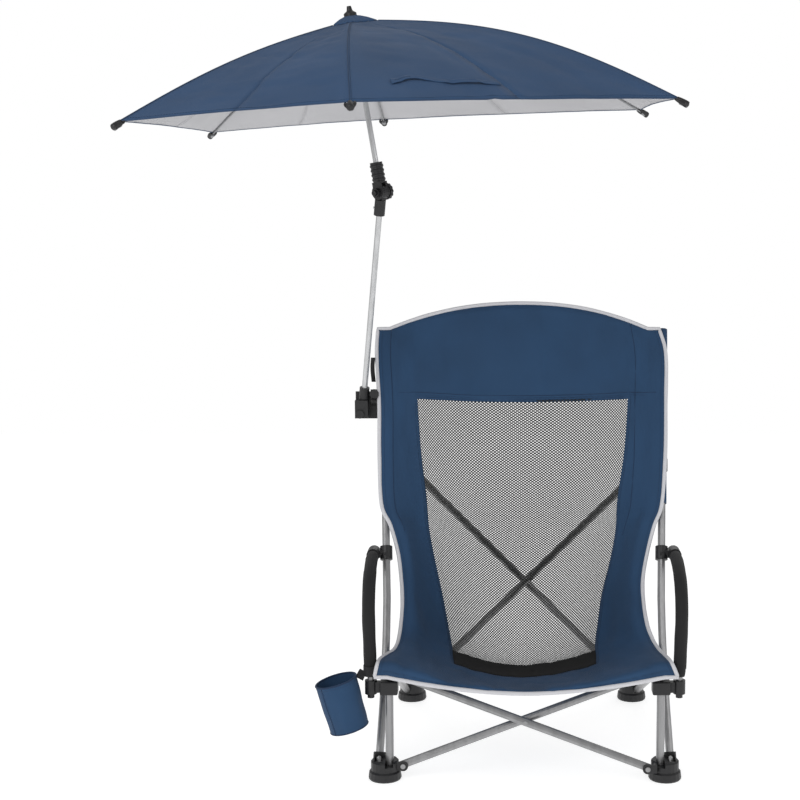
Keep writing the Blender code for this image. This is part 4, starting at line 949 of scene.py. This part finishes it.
    def seam(self, name: str, line: Sequence[tuple[float, float]]) -> list[bpy.types.Object]:
        """Raised seam with stitches beside it.

        Args:
            name: Name of the seam.
            line: Places and shares that it passes.

        Returns:
            The seam's ridge and its stitches.
        """
        off = self.thickness / 2
        ridge = [self.face(place, share, off) for place, share in line]
        off += self.stitch_clearance
        beside = [self.face(place + self.stitch_step, share, off) for place, share in line]
        return [
            sweep(f"{name}_ridge", ridge, self.seam_radius, SEAM_CLOTH, sides=6, hint=BACK),
            Thread().sew(f"{name}_stitches", beside),
        ]

    def window_line(self, outset: float) -> list[tuple[float, float]]:
        """Line round the window, outside it.

        Args:
            outset: How far outside, as a share of the half width.

        Returns:
            Places and shares along the line.
        """
        top, low = self.window_top - outset * 2, self.window_low + outset * 2
        down = spread(top, low, 60)
        line = [(place, -self.opening(place) - outset) for place in reversed(down)]
        line += [(top, share) for share in spread(-self.opening(top), self.opening(top), 30)[1:-1]]
        line += [(place, self.opening(place) + outset) for place in down]
        line += [(low, share) for share in spread(self.opening(low), -self.opening(low), 30)[1:-1]]
        return line

    def build_seams(self) -> list[bpy.types.Object]:
        """Seams across the back, down its sides and round the window.

        Returns:
            All the pieces of the seams.
        """
        cross = [(self.yoke_place, share) for share in spread(*self.yoke_shares, 60)]
        down = spread(*self.panel_places, 50)
        left, right = ([(place, share) for place in down] for share in self.panel_shares)
        pieces = self.seam("yoke", cross) + self.seam("left_panel", left) + self.seam("right_panel", right)
        around = self.window_line(self.window_outset_share)
        hem = [self.face(place, share, self.stitch_lift) for place, share in around]
        pieces.append(Thread().sew("window_stitches", hem + hem[:1]))
        for side in Side:
            share = side.value * self.edge_stitch_share
            edge = [self.face(place, share, self.stitch_lift) for place in spread(0.15, self.last - 0.3, 120)]
            pieces.append(Thread().sew(f"edge_stitches_{side.word}", edge))
        low, end = self.last - self.lip_stitch_inset, self.lip_stitch_share
        lip = [self.face(low, share, self.stitch_lift) for share in spread(-end, end, 60)]
        pieces.append(Thread().sew("lip_stitches", lip))
        return pieces

    def build_pocket(self, side: Side) -> bpy.types.Object:
        """Pocket of cloth round a back post.

        Args:
            side: Side of the chair.

        Returns:
            The pocket, which rides on its post.
        """
        low, top = side.point(*self.post_low), side.point(*self.post_top)
        lean = (top - low).normalized()
        out = (RIGHT - lean * lean.dot(RIGHT)).normalized()
        over = lean.cross(out)
        rows = []
        for height in spread(self.pocket_low, self.pocket_top, 40):
            middle = low + lean * ((height - low.z) / lean.z)
            row = []
            for turn in (math.tau * step / self.pocket_sides for step in range(self.pocket_sides)):
                around = out * math.cos(turn) + over * math.sin(turn)
                slack = 1 + self.pocket_slack_share * wave(middle + around * 0.03, 0.035, 4.4)
                row.append(middle + around * (self.pocket_radius * slack))
            rows.append(row)
        pocket = grid_sheet(f"post_pocket_{side.word}", rows, SEAT_CLOTH, closed=True)
        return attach(thicken(pocket, self.pocket_thickness), f"{side.word}_side")

    def build(self) -> list[bpy.types.Object]:
        """Build the whole seat and put it in place of the CAD's plain sheets.

        Returns:
            The seat's pieces.
        """
        cloth, netting = self.build_cloth(), self.build_netting()
        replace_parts(cloth, "sling")
        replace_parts(netting, "mesh_panel")
        band, piping, seams = self.build_band(), self.build_piping(), self.build_seams()
        for piece in (cloth, netting, band, piping, *seams):
            self.join(piece)
        pockets = [self.build_pocket(side) for side in Side]
        return [cloth, netting, band, piping, *seams, *pockets]


@dataclass(frozen=True)
class ArmSleeve:
    """Soft black sleeve round an arm tube, sewn along its outer side."""

    line: tuple[tuple[float, float, float], ...] = (
        (0.3000, 0.000, 0.206), (0.3010, 0.000, 0.260), (0.3025, 0.001, 0.310), (0.3035, 0.012, 0.345),
        (0.3045, 0.040, 0.378), (0.3060, 0.085, 0.396), (0.3080, 0.135, 0.403), (0.3090, 0.172, 0.405),
    )
    radius: float = 0.0122
    seam_radius: float = 0.0009
    steps: int = 8
    fill: float = 0.8

    def build(self, side: Side) -> list[bpy.types.Object]:
        """Build the sleeve of one side.

        Args:
            side: Side of the chair.

        Returns:
            The sleeve and its seam.
        """
        nodes = [side.point(*place) for place in self.line]
        last = len(nodes) - 1
        places = spread(0.0, float(last), last * self.steps)
        path = [on_curve(nodes, place) for place in places]
        radii = []
        for point, place in zip(path, places):
            end = min(place, last - place)
            tuck = 1 - 0.16 * math.exp(-end * 9)
            radii.append(self.radius * tuck * (1 + 0.05 * wave(point, 0.03, 6.0)))
        sleeve = sweep(f"arm_sleeve_cloth_{side.word}", path, radii, SLEEVE, sides=24, hint=BACK)
        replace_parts(sleeve, f"arm_sleeve_{side.word}")
        seam = self.build_seam(side, path, radii)
        pieces = [sleeve, seam]
        for piece in pieces:
            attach(piece, f"{side.word}_side")
        return pieces

    def build_seam(self, side: Side, path: Row, radii: Sequence[float]) -> bpy.types.Object:
        """Closing seam along the sleeve's outer side.

        Args:
            side: Side of the chair.
            path: Middle line of the sleeve.
            radii: Its radius at each point.

        Returns:
            The seam.
        """
        out = RIGHT * side.value
        line = [point + out * (radius + 0.0002) for point, radius in zip(path[2:-2], radii[2:-2])]
        return sweep(f"arm_sleeve_seam_{side.word}", line, self.seam_radius, SLEEVE, sides=6, hint=BACK)


@dataclass
class CupHolder:
    """Open cloth cup on the left arm: wall, bottom, rim binding, side seam and the strap that holds it."""

    radius: float = 0.042
    height: float = 0.098
    lean: float = math.radians(15.0)
    place: tuple[float, float, float] = (-0.354, -0.012, 0.153)
    wall: float = 0.0015
    strap_low: float = 0.2075
    strap_top: float = 0.2275
    strap_post: tuple[float, float] = (-0.300, 0.000)
    strap_radius: float = 0.0136
    strap_thickness: float = 0.0016
    strap_sides: int = 40
    turns: int = 72
    levels: int = 30
    bottom_shares: tuple[float, ...] = (0.96, 0.88, 0.72, 0.5, 0.25, 0.02)
    slack: Swell = Swell(0.028, 7.3, 0.0030)
    cut: tuple[float, float] = (0.255, 0.140)
    cut_area: float = 0.0305

    def __post_init__(self) -> None:
        """Prepare the cup's own axes."""
        self.middle = ORIGIN + Vector(self.place)
        self.up = Vector((-math.sin(self.lean), 0.0, math.cos(self.lean)))
        self.out = Vector((-math.cos(self.lean), 0.0, -math.sin(self.lean)))

    def wall_point(self, turn: float, share: float, off: float = 0.0) -> Vector:
        """Point of the cup's wall.

        Args:
            turn: Angle round the cup.
            share: Height, from 0 at the bottom to 1 at the rim.
            off: Distance outside the wall.

        Returns:
            The point.
        """
        around = self.out * math.cos(turn) + BACK * math.sin(turn)
        taper = 0.93 + 0.07 * share
        slack = self.slack.at(around * 0.05 + self.up * (share * 0.06))
        slack *= math.sin(math.pi * min(share * 1.1, 1.0))
        radius = self.radius * taper - 0.002 + slack + off
        return self.middle + self.up * (self.height * (share - 0.5)) + around * radius

    def ring(self, share: float, off: float = 0.0, scale: float = 1.0) -> Row:
        """Ring of points round the cup.

        Args:
            share: Height as a share.
            off: Distance outside the wall.
            scale: Share of the radius.

        Returns:
            The points.
        """
        centre = self.middle + self.up * (self.height * (share - 0.5))
        places = [self.wall_point(math.tau * step / self.turns, share, off) for step in range(self.turns)]
        return [centre + (place - centre) * scale for place in places]

    def build_cup(self) -> bpy.types.Object:
        """Wall and bottom of the cup, as one open sheet.

        Returns:
            The cup.
        """
        rows = [self.ring(share) for share in reversed(spread(0.0, 1.0, self.levels))]
        for scale in self.bottom_shares:
            lift = self.up * (-0.001 * (1 - scale))
            rows.append([point + lift for point in self.ring(0.0, scale=scale)])
        cup = thicken(grid_sheet("cup_cloth", rows, SEAT_CLOTH, closed=True), self.wall)
        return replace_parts(cup, "cup_holder")

    def build_trim(self) -> list[bpy.types.Object]:
        """Rim binding, bottom binding, side seam and stitches.

        Returns:
            The pieces.
        """
        outer = self.wall / 2
        rim = sweep("cup_rim", self.ring(1.0), 0.0019, SEAM_CLOTH, sides=10, closed=True, hint=self.up)
        low = self.ring(0.01, 0.0003)
        base = sweep("cup_base_binding", low, 0.0013, SEAM_CLOTH, sides=8, closed=True, hint=self.up)
        turn = math.radians(-50)
        side = [self.wall_point(turn, share, outer) for share in spread(0.02, 0.98, 30)]
        seam = sweep("cup_side_seam", side, 0.0008, SEAM_CLOTH, sides=6, hint=BACK)
        hem = self.ring(0.94, outer)
        stitches = Thread().sew("cup_stitches", hem + hem[:1])
        beside = [self.wall_point(turn - 0.06, share, outer) for share in spread(0.04, 0.92, 30)]
        return [rim, base, seam, stitches, Thread().sew("cup_seam_stitches", beside)]

    def build_strap(self) -> list[bpy.types.Object]:
        """Webbing strap round the arm sleeve, with its tab to the cup.

        Returns:
            The strap's pieces.
        """
        x, y = self.strap_post
        rows = []
        for height in spread(self.strap_low, self.strap_top, 6):
            middle = ORIGIN + Vector((x, y, height))
            rows.append(circle(middle, RIGHT, BACK, self.strap_radius, self.strap_sides))
        loop = thicken(grid_sheet("cup_strap_loop", rows, STRAP, closed=True), self.strap_thickness)
        height = (self.strap_low + self.strap_top) / 2
        start = ORIGIN + Vector((x - self.strap_radius, y - 0.003, height))
        end = ORIGIN + Vector((x - 0.0215, y - 0.010, height - 0.0145))
        path = [
            start.lerp(end, share) + UP * (0.0015 * math.sin(math.pi * share))
            for share in spread(0.0, 1.0, 10)
        ]
        ahead = (end - start).normalized()
        width = (self.strap_top - self.strap_low) * 0.8
        across = [ahead.cross(BACK).normalized()] * len(path)
        tab = strip("cup_strap_tab", path, across, width, self.strap_thickness, STRAP)
        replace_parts(loop, "cup_strap")
        return [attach(piece, "left_side") for piece in (loop, tab)]

    def build(self) -> list[bpy.types.Object]:
        """Build the cup holder.

        Returns:
            Its pieces.
        """
        cup, trim = self.build_cup(), self.build_trim()
        for piece in (cup, *trim):
            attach(piece, "cup")
        strap = self.build_strap()
        return [cup, *trim, *strap]


@dataclass(frozen=True)
class StrapEnd:
    """Loose end of webbing on the left back post, above the umbrella's clamp."""

    place: tuple[float, float, float] = (-0.3207, 0.360, 0.794)
    drop: float = 0.052
    width: float = 0.009
    thickness: float = 0.0016

    def build(self) -> bpy.types.Object:
        """Build the strap end.

        Returns:
            The strap.
        """
        top = ORIGIN + Vector(self.place)
        path = []
        for share in spread(0.0, 1.0, 16):
            aside, back = -0.0012 * math.sin(share * 4.0), -0.0030 * math.sin(share * 2.6)
            curl = Vector((aside, back, -self.drop * share))
            path.append(top + curl)
        across = [RIGHT] * len(path)
        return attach(strip("strap_end", path, across, self.width, self.thickness, STRAP), "left_side")


@dataclass(frozen=True)
class Rib:
    """One rib of the canopy, seen from its hub, and the flat cut of the cloth over it."""

    name: str
    reach: float
    drop: float
    arch: float
    azimuth: float
    cut: tuple[float, float]
    cut_area: float


@dataclass
class Canopy:
    """Canopy cloth with its silver lining, seams, hem, tie strap and black tip cups.

    The apex and the knuckle are places from the chair's own origin, and the rest is in the upper shaft's frame.
    """

    apex: tuple[float, float, float] = (-0.3455, 0.205, 1.4915)
    knuckle: tuple[float, float, float] = (-0.2887, 0.220, 1.1418)
    turn: float = math.radians(1.5)
    hinge_offset: float = 0.0132
    notch_drop: float = 0.020
    lift: float = 0.0040
    hub_share: float = 0.055
    reach_share: float = 0.972
    scallop: float = 0.012
    thickness: float = 0.0008
    ribs: tuple[Rib, ...] = (
        Rib("front_right", 0.663, 0.287, 0.047, math.radians(-27.0), (0.56, 0.70), 0.181),
        Rib("front_middle", 0.530, 0.206, 0.030, math.radians(-89.5), (0.50, 0.55), 0.150),
        Rib("front_left", 0.622, 0.172, 0.018, math.radians(-129.6), (0.48, 0.62), 0.150),
        Rib("rear_left", 0.622, 0.172, 0.018, math.radians(129.6), (0.48, 0.62), 0.150),
        Rib("rear_middle", 0.530, 0.206, 0.030, math.radians(89.5), (0.50, 0.55), 0.150),
        Rib("rear_right", 0.663, 0.287, 0.047, math.radians(27.0), (0.56, 0.70), 0.181),
    )
    rows: int = 44
    columns: int = 30
    fold_keep: float = 0.16
    tip_radius: float = 0.0066
    ridge_radius: float = 0.0008
    ridge_clearance: float = 0.0003
    hem_radius: float = 0.0012
    hem_share: float = 0.016
    stitch_aside: float = 0.0032
    stitch_sink: float = 0.0006
    valley_depth: float = 0.006
    tie_thickness: float = 0.0012
    crown_sides: int = 72
    tie_line: tuple[tuple[float, float], ...] = (
        (0.508, 0.876), (0.575, 0.876), (0.667, 0.862), (0.725, 0.845), (0.792, 0.832), (0.862, 0.852)
    )
    radial: Swell = Swell(1.0, 2.7, 0.0042)
    broad: Swell = Swell(0.16, 9.4, 0.0044)
    fine: Swell = Swell(0.05, 4.2, 0.0014)
    creases: Swell = Swell(0.13, 5.1, 0.0022)

    def __post_init__(self) -> None:
        """Prepare the canopy's frame."""
        apex, knuckle = Vector(self.apex), Vector(self.knuckle)
        up = (apex - knuckle).normalized()
        back = up.cross(RIGHT).normalized()
        side = back.cross(up)
        turn = Matrix((side, back, up)).transposed().to_4x4()
        self.frame = Matrix.Translation(ORIGIN + apex) @ turn

    def rib_point(self, rib: Rib, share: float, lift: float) -> Vector:
        """Point along a rib, or over it.

        Args:
            rib: The rib.
            share: Place along it, from 0 at the hub to 1 at its tip.
            lift: Distance over its middle line.

        Returns:
            The point in the canopy's own frame.
        """
        out, down = rib.reach - self.hinge_offset, rib.drop - self.notch_drop
        length = math.hypot(out, down)
        rise = math.sin(math.pi * share) * rib.arch + lift
        reach = self.hinge_offset + out * share + rise * down / length
        drop = self.notch_drop + down * share - rise * out / length
        turn = rib.azimuth + self.turn
        return Vector((reach * math.cos(turn), reach * math.sin(turn), -drop))

    def flat_point(self, place: float, share: float) -> Vector:
        """Point of the tight cloth without its folds.

        Args:
            place: Place round the canopy, counted in ribs.
            share: Place from the hub to the rim.

        Returns:
            The point in the canopy's own frame.
        """
        ribs = self.ribs
        place %= len(ribs)
        index = int(place)
        t = place - index
        first = self.rib_point(ribs[index], share, self.lift)
        second = self.rib_point(ribs[(index + 1) % len(ribs)], share, self.lift)
        bow = math.sin(math.pi * t)
        point = first.lerp(second, t) * (1 - self.scallop * bow * share)
        point.z -= self.valley_depth * bow * math.sin(math.pi * min(share, 1.0))
        return point

    def folds(self, place: float, share: float, point: Vector) -> float:
        """Height of the cloth's folds.

        Args:
            place: Place round the canopy.
            share: Place from the hub to the rim.
            point: The tight cloth's point there.

        Returns:
            The height.
        """
        from_rib = abs(place - round(place))
        around = Vector((place * 7.0, share * 1.2, 0.0))
        radial = self.radial.at(around) * share
        broad = self.broad.at(point)
        fine = self.fine.at(Vector((point.x, point.y * 2.4, 0.0)))
        fine -= self.creases.fold(Vector((point.x + point.y * 0.6, point.y, 0.0)), 8)
        pull = math.exp(-((from_rib - 0.10 * (1.4 - share)) / 0.035) ** 2) * 0.0016 * share
        calm = min(from_rib / 0.12, 1.0) * min((share - self.hub_share) / 0.12, 1.0)
        calm *= min((self.reach_share - share) / 0.05 + 0.15, 1.0)
        return (radial + broad + fine - pull) * max(calm, 0.0) - self.crease(place, share)

    def crease(self, place: float, share: float) -> float:
        """Depth of the sharp fold line across the front right panel.

        Args:
            place: Place round the canopy.
            share: Place from the hub to the rim.

        Returns:
            The depth.
        """
        if not 0.3 < place < 0.8 or share < 0.45:
            return 0.0
        line = 0.600 - 0.055 * (share - 0.5)
        return -0.0016 * math.exp(-((place - line) / 0.010) ** 2) * min((share - 0.45) / 0.1, 1.0)

    def point(self, place: float, share: float, off: float = 0.0) -> Vector:
        """Point of the cloth in the CAD frame.

        Args:
            place: Place round the canopy.
            share: Place from the hub to the rim.
            off: Distance over the cloth.

        Returns:
            The point.
        """
        place %= len(self.ribs)
        point = self.flat_point(place, share)
        height = self.folds(place, share, point) + off
        return self.frame @ (point + Vector((0.0, 0.0, height)))

    def join(self, obj: bpy.types.Object, index: int) -> bpy.types.Object:
        """Let a piece of the canopy follow one rib.

        Args:
            obj: The piece.
            index: The rib's number.

        Returns:
            The same piece.
        """
        rib = self.ribs[index]
        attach(obj, f"rib_{rib.name}")
        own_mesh(obj)
        return obj

    def build_gore(self, index: int) -> bpy.types.Object:
        """Cloth over one rib, to the middle of the panels beside it.

        Args:
            index: The rib's number.

        Returns:
            The cloth.
        """
        places = spread(index - 0.5, index + 0.5, self.columns)
        shares = spread(self.hub_share, self.reach_share, self.rows)
        rows = [[self.point(place, share) for place in places] for share in shares]
        gore = grid_sheet(f"canopy_cloth_{self.ribs[index].name}", rows, CANOPY_CLOTH_PAINTED_LIGHT)
        gore.data.flip_normals()
        thicken(gore, self.thickness, LINING)
        self.join(gore, index)
        return gore

    def build_trim(self, index: int) -> list[bpy.types.Object]:
        """Seam over one rib, hem along its rim and the stitches of both.

        Args:
            index: The rib's number.

        Returns:
            The pieces.
        """
        name = self.ribs[index].name
        over = self.thickness / 2 + self.ridge_clearance
        shares = spread(self.hub_share + 0.01, self.reach_share, 60)
        ridge = [self.point(index, share, over) for share in shares]
        places = spread(index - 0.5, index + 0.5, 40)
        rim = [self.point(place, self.reach_share) for place in places]
        hem = [self.point(place, self.reach_share - self.hem_share, over) for place in places]
        turn = self.ribs[index].azimuth + self.turn
        step = self.frame.to_3x3() @ Vector((-math.sin(turn), math.cos(turn), 0.0)) * self.stitch_aside
        drop = self.frame.to_3x3() @ Vector((0.0, 0.0, -self.stitch_sink))
        pieces = [
            sweep(f"canopy_seam_{name}", ridge, self.ridge_radius, CANOPY_SEAM_PAINTED_LIGHT, sides=6),
            sweep(f"canopy_hem_{name}", rim, self.hem_radius, CANOPY_SEAM_PAINTED_LIGHT, sides=8),
            Thread().sew(f"canopy_seam_stitches_{name}", [point + step + drop for point in ridge]),
            Thread().sew(f"canopy_hem_stitches_{name}", hem),
        ]
        return [self.join(piece, index) for piece in pieces]

    def build_tip(self, index: int) -> bpy.types.Object:
        """Black claw over the tip of one rib, with two prongs on the cloth.

        Args:
            index: The rib's number.

        Returns:
            The claw.
        """
        rib = self.ribs[index]
        inner, outer = (self.frame @ self.rib_point(rib, share, 0.0) for share in (0.965, 1.0))
        ahead = (outer - inner).normalized()
        turn = rib.azimuth + self.turn
        aside = self.frame.to_3x3() @ Vector((-math.sin(turn), math.cos(turn), 0.0))
        over = aside.cross(ahead)
        points, faces = [], []
        for spot in (0.0, -0.0085, 0.0085):
            start = inner + aside * spot * 0.9 - over * 0.0030 * (1.0 if spot == 0.0 else 0.3)
            bend = start.lerp(outer, 0.35) + aside * spot * 0.3
            path = [start, bend, start.lerp(outer, 0.8), outer + ahead * 0.0010]
            radii = (0.0018, 0.0034, 0.0052, 0.0050) if spot else (0.0030, 0.0050, self.tip_radius, 0.0062)
            self.add_prong(points, faces, path, radii)
        claw = build_mesh(f"rib_tip_cup_{rib.name}", points, faces, PLASTIC)
        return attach(claw, f"rib_{rib.name}")

    def add_prong(self, points: Row, faces: list[tuple[int, ...]], path: Row, radii: Sequence[float]) -> None:
        """Add one rounded prong to a list of points and faces.

        Args:
            points: Points so far.
            faces: Faces so far.
            path: The prong's middle line.
            radii: Its radius at each point.
        """
        sides, fine = 12, 12
        nodes = [Vector((radius, 0.0, 0.0)) for radius in radii]
        first = len(points)
        for step in range(fine + 1):
            place = (len(path) - 1) * step / fine
            middle = on_curve(path, place)
            front, rear = min(place + 0.1, len(path) - 1), max(place - 0.1, 0.0)
            ahead = (on_curve(path, front) - on_curve(path, rear)).normalized()
            side = ahead.orthogonal().normalized()
            over = ahead.cross(side)
            end = 0.55 if step in (0, fine) else 1.0
            radius = on_curve(nodes, place).x * end
            points += circle(middle, side, over, radius, sides)
        for step in range(fine):
            for corner in range(sides):
                after = (corner + 1) % sides
                low, high = first + step * sides, first + (step + 1) * sides
                faces.append((low + corner, low + after, high + after, high + corner))
        faces.append(tuple(reversed(range(first, first + sides))))
        faces.append(tuple(range(first + fine * sides, first + (fine + 1) * sides)))

    def build_crown(self) -> list[bpy.types.Object]:
        """Cloth over the hub, gathered under the ferrule.

        Returns:
            The crown's pieces.
        """
        rows = []
        for share in (0.0, 0.3, 0.6, 0.85, 1.0):
            row = []
            for step in range(self.crown_sides):
                place = len(self.ribs) * step / self.crown_sides
                edge = self.flat_point(place, self.hub_share + 0.006)
                inner = Vector((edge.x, edge.y, 0.0)).normalized() * 0.0066
                inner.z = -0.0050
                point = inner.lerp(edge, share)
                point.z += 0.0022 * math.sin(math.pi * share) + 0.0007 * math.sin(step * 1.9) * share + 0.0008
                row.append(self.frame @ point)
            rows.append(row)
        crown = grid_sheet("canopy_crown", rows, CANOPY_CLOTH_PAINTED_LIGHT, closed=True)
        crown.data.flip_normals()
        thicken(crown, self.thickness, LINING)
        return [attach(crown, "upper_mast")]

    def build_tie(self) -> list[bpy.types.Object]:
        """Tie strap sewn on the front right panel, lying along its rim.

        Returns:
            The strap and its stitches.
        """
        nodes = [Vector((place, share, 0.0)) for place, share in self.tie_line]
        rows = []
        for place in spread(0.0, len(nodes) - 1, 60):
            spot = on_curve(nodes, place)
            width = 0.011 + 0.005 * min(max(place - 4.0, 0.0), 1.0)
            rise = 0.0016 + 0.0035 * abs(math.sin(place * 1.15)) ** 2
            row = []
            for across in spread(-1.0, 1.0, 6):
                curl = 0.0010 * wave(Vector((place, across, 0.0)), 0.5, 1.0)
                row.append(self.point(spot.x, spot.y + width * across, rise + curl))
            rows.append(row)
        tie = thicken(grid_sheet("canopy_tie", rows, CANOPY_CLOTH_PAINTED_LIGHT), self.tie_thickness)
        middle = [row[3] for row in rows[48:59]]
        up = self.frame.to_3x3() @ Vector((0.0, 0.0, 0.0011))
        stitches = Thread().sew("canopy_tie_stitches", [point + up for point in middle])
        return [self.join(tie, 1), self.join(stitches, 1)]

    def build(self) -> list[bpy.types.Object]:
        """Build the canopy in place of the CAD's plain sheet.

        Returns:
            Its pieces.
        """
        pieces = []
        for index, rib in enumerate(self.ribs):
            gore, trim = self.build_gore(index), self.build_trim(index)
            if index == 0:
                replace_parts(gore, "canopy")
            if index == 1:
                trim += self.build_tie()
            pieces += [gore, *trim, self.build_tip(index)]
        return pieces + self.build_crown()


class CadFrame:
    """Dresses the nodes that are carried over from the CAD frame."""

    finishes = (
        (("upright_", "back_post_", "rear_leg_", "arm_tube_", "front_cross_", "rear_cross_"), STEEL),
        (("lower_shaft", "upper_shaft", "latch_button"), ALLOY),
        (("rib_", "stretcher_"), RIB_METAL),
    )

    def build(self) -> list[bpy.types.Object]:
        """Give each CAD node its finish.

        Returns:
            The nodes.
        """
        dressed = []
        for name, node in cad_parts.items():
            finish = PLASTIC
            for prefixes, wanted in self.finishes:
                if name.startswith(prefixes):
                    finish = wanted
            node.data.materials.clear()
            node.data.materials.append(finish.material())
            dressed.append(node)
        return dressed


class Studio:
    """Pale floor, soft light and the camera at the photograph's angle."""

    camera_place = (-0.043, -2.8, 1.085)
    camera_dip = math.radians(6.9)
    lens = 66.78
    shift = -0.12875
    sensor = 36.0

    def build(self) -> None:
        """Build the floor, the lights and the camera."""
        self.build_floor()
        self.build_world()
        self.add_light("key", (-1.8, -2.6, 2.2), 2.4, 44.0)
        self.add_light("fill", (2.4, -1.6, 1.4), 2.0, 12.0)
        self.add_light("rim", (0.4, 2.4, 2.2), 2.0, 12.0)
        self.build_camera()
        bpy.context.scene.view_settings.view_transform = "Standard"

    def build_floor(self) -> None:
        """Wide flat floor sheet."""
        rows = []
        for step in range(25):
            share = step / 24
            place = Vector((0.0, -3.5 + 8.0 * share, 0.0))
            rows.append([place + RIGHT * reach for reach in spread(-6.0, 6.0, 12)])
        floor = grid_sheet("floor", rows, FLOOR)
        floor.data.flip_normals()

    def build_world(self) -> None:
        """Even soft light from all round, and a white background."""
        world = bpy.data.worlds.new("studio")
        bpy.context.scene.world = world
        world.use_nodes = True
        tree = world.node_tree
        light = tree.nodes["Background"]
        light.inputs["Color"].default_value = (1.0, 1.0, 1.0, 1.0)
        light.inputs["Strength"].default_value = 0.5
        white = tree.nodes.new("ShaderNodeBackground")
        white.inputs["Strength"].default_value = 1.0
        white.inputs["Color"].default_value = (1.0, 1.0, 1.0, 1.0)
        path = tree.nodes.new("ShaderNodeLightPath")
        mix = tree.nodes.new("ShaderNodeMixShader")
        tree.links.new(path.outputs["Is Camera Ray"], mix.inputs[0])
        tree.links.new(light.outputs[0], mix.inputs[1])
        tree.links.new(white.outputs[0], mix.inputs[2])
        tree.links.new(mix.outputs[0], tree.nodes["World Output"].inputs["Surface"])

    def add_light(self, name: str, place: tuple[float, float, float], size: float, power: float) -> None:
        """Add a soft area light that faces the chair.

        Args:
            name: Its name.
            place: Its place from the chair's own origin.
            size: Its side length.
            power: Its power in watts.
        """
        data = bpy.data.lights.new(name, "AREA")
        data.size = size
        data.energy = power
        lamp = bpy.data.objects.new(name, data)
        lamp.location = ORIGIN + Vector(place)
        aim = ORIGIN + Vector((-0.1, 0.2, 0.7)) - lamp.location
        lamp.rotation_euler = aim.to_track_quat("-Z", "Y").to_euler()
        bpy.context.scene.collection.objects.link(lamp)

    def build_camera(self) -> None:
        """Camera at the photograph's place and angle."""
        data = bpy.data.cameras.new("camera")
        data.lens = self.lens
        data.sensor_width = self.sensor
        data.shift_x = self.shift
        camera = bpy.data.objects.new("camera", data)
        camera.location = ORIGIN + Vector(self.camera_place)
        camera.rotation_euler = (math.pi / 2 - self.camera_dip, 0.0, 0.0)
        bpy.context.scene.collection.objects.link(camera)
        bpy.context.scene.camera = camera


def main() -> None:
    """Build every piece in order and report it."""
    logging.basicConfig(level=logging.INFO)
    sleeve = ArmSleeve()
    steps: list[tuple[str, Callable[[], list[bpy.types.Object]]]] = [
        ("CAD frame", CadFrame().build),
        ("sling seat", SlingSeat().build),
        ("left arm sleeve", lambda: sleeve.build(Side.LEFT)),
        ("right arm sleeve", lambda: sleeve.build(Side.RIGHT)),
        ("cup holder", CupHolder().build),
        ("strap end", lambda: [StrapEnd().build()]),
        ("canopy", Canopy().build),
    ]
    for title, build in steps:
        for piece in build():
            area = sum(face.area for face in piece.data.polygons)
            faces = len(piece.data.polygons)
            LOG.info("%s: %s, %d faces, %.4f square metres", title, piece.name, faces, area)
    Studio().build()


if __name__ == "__main__":
    main()
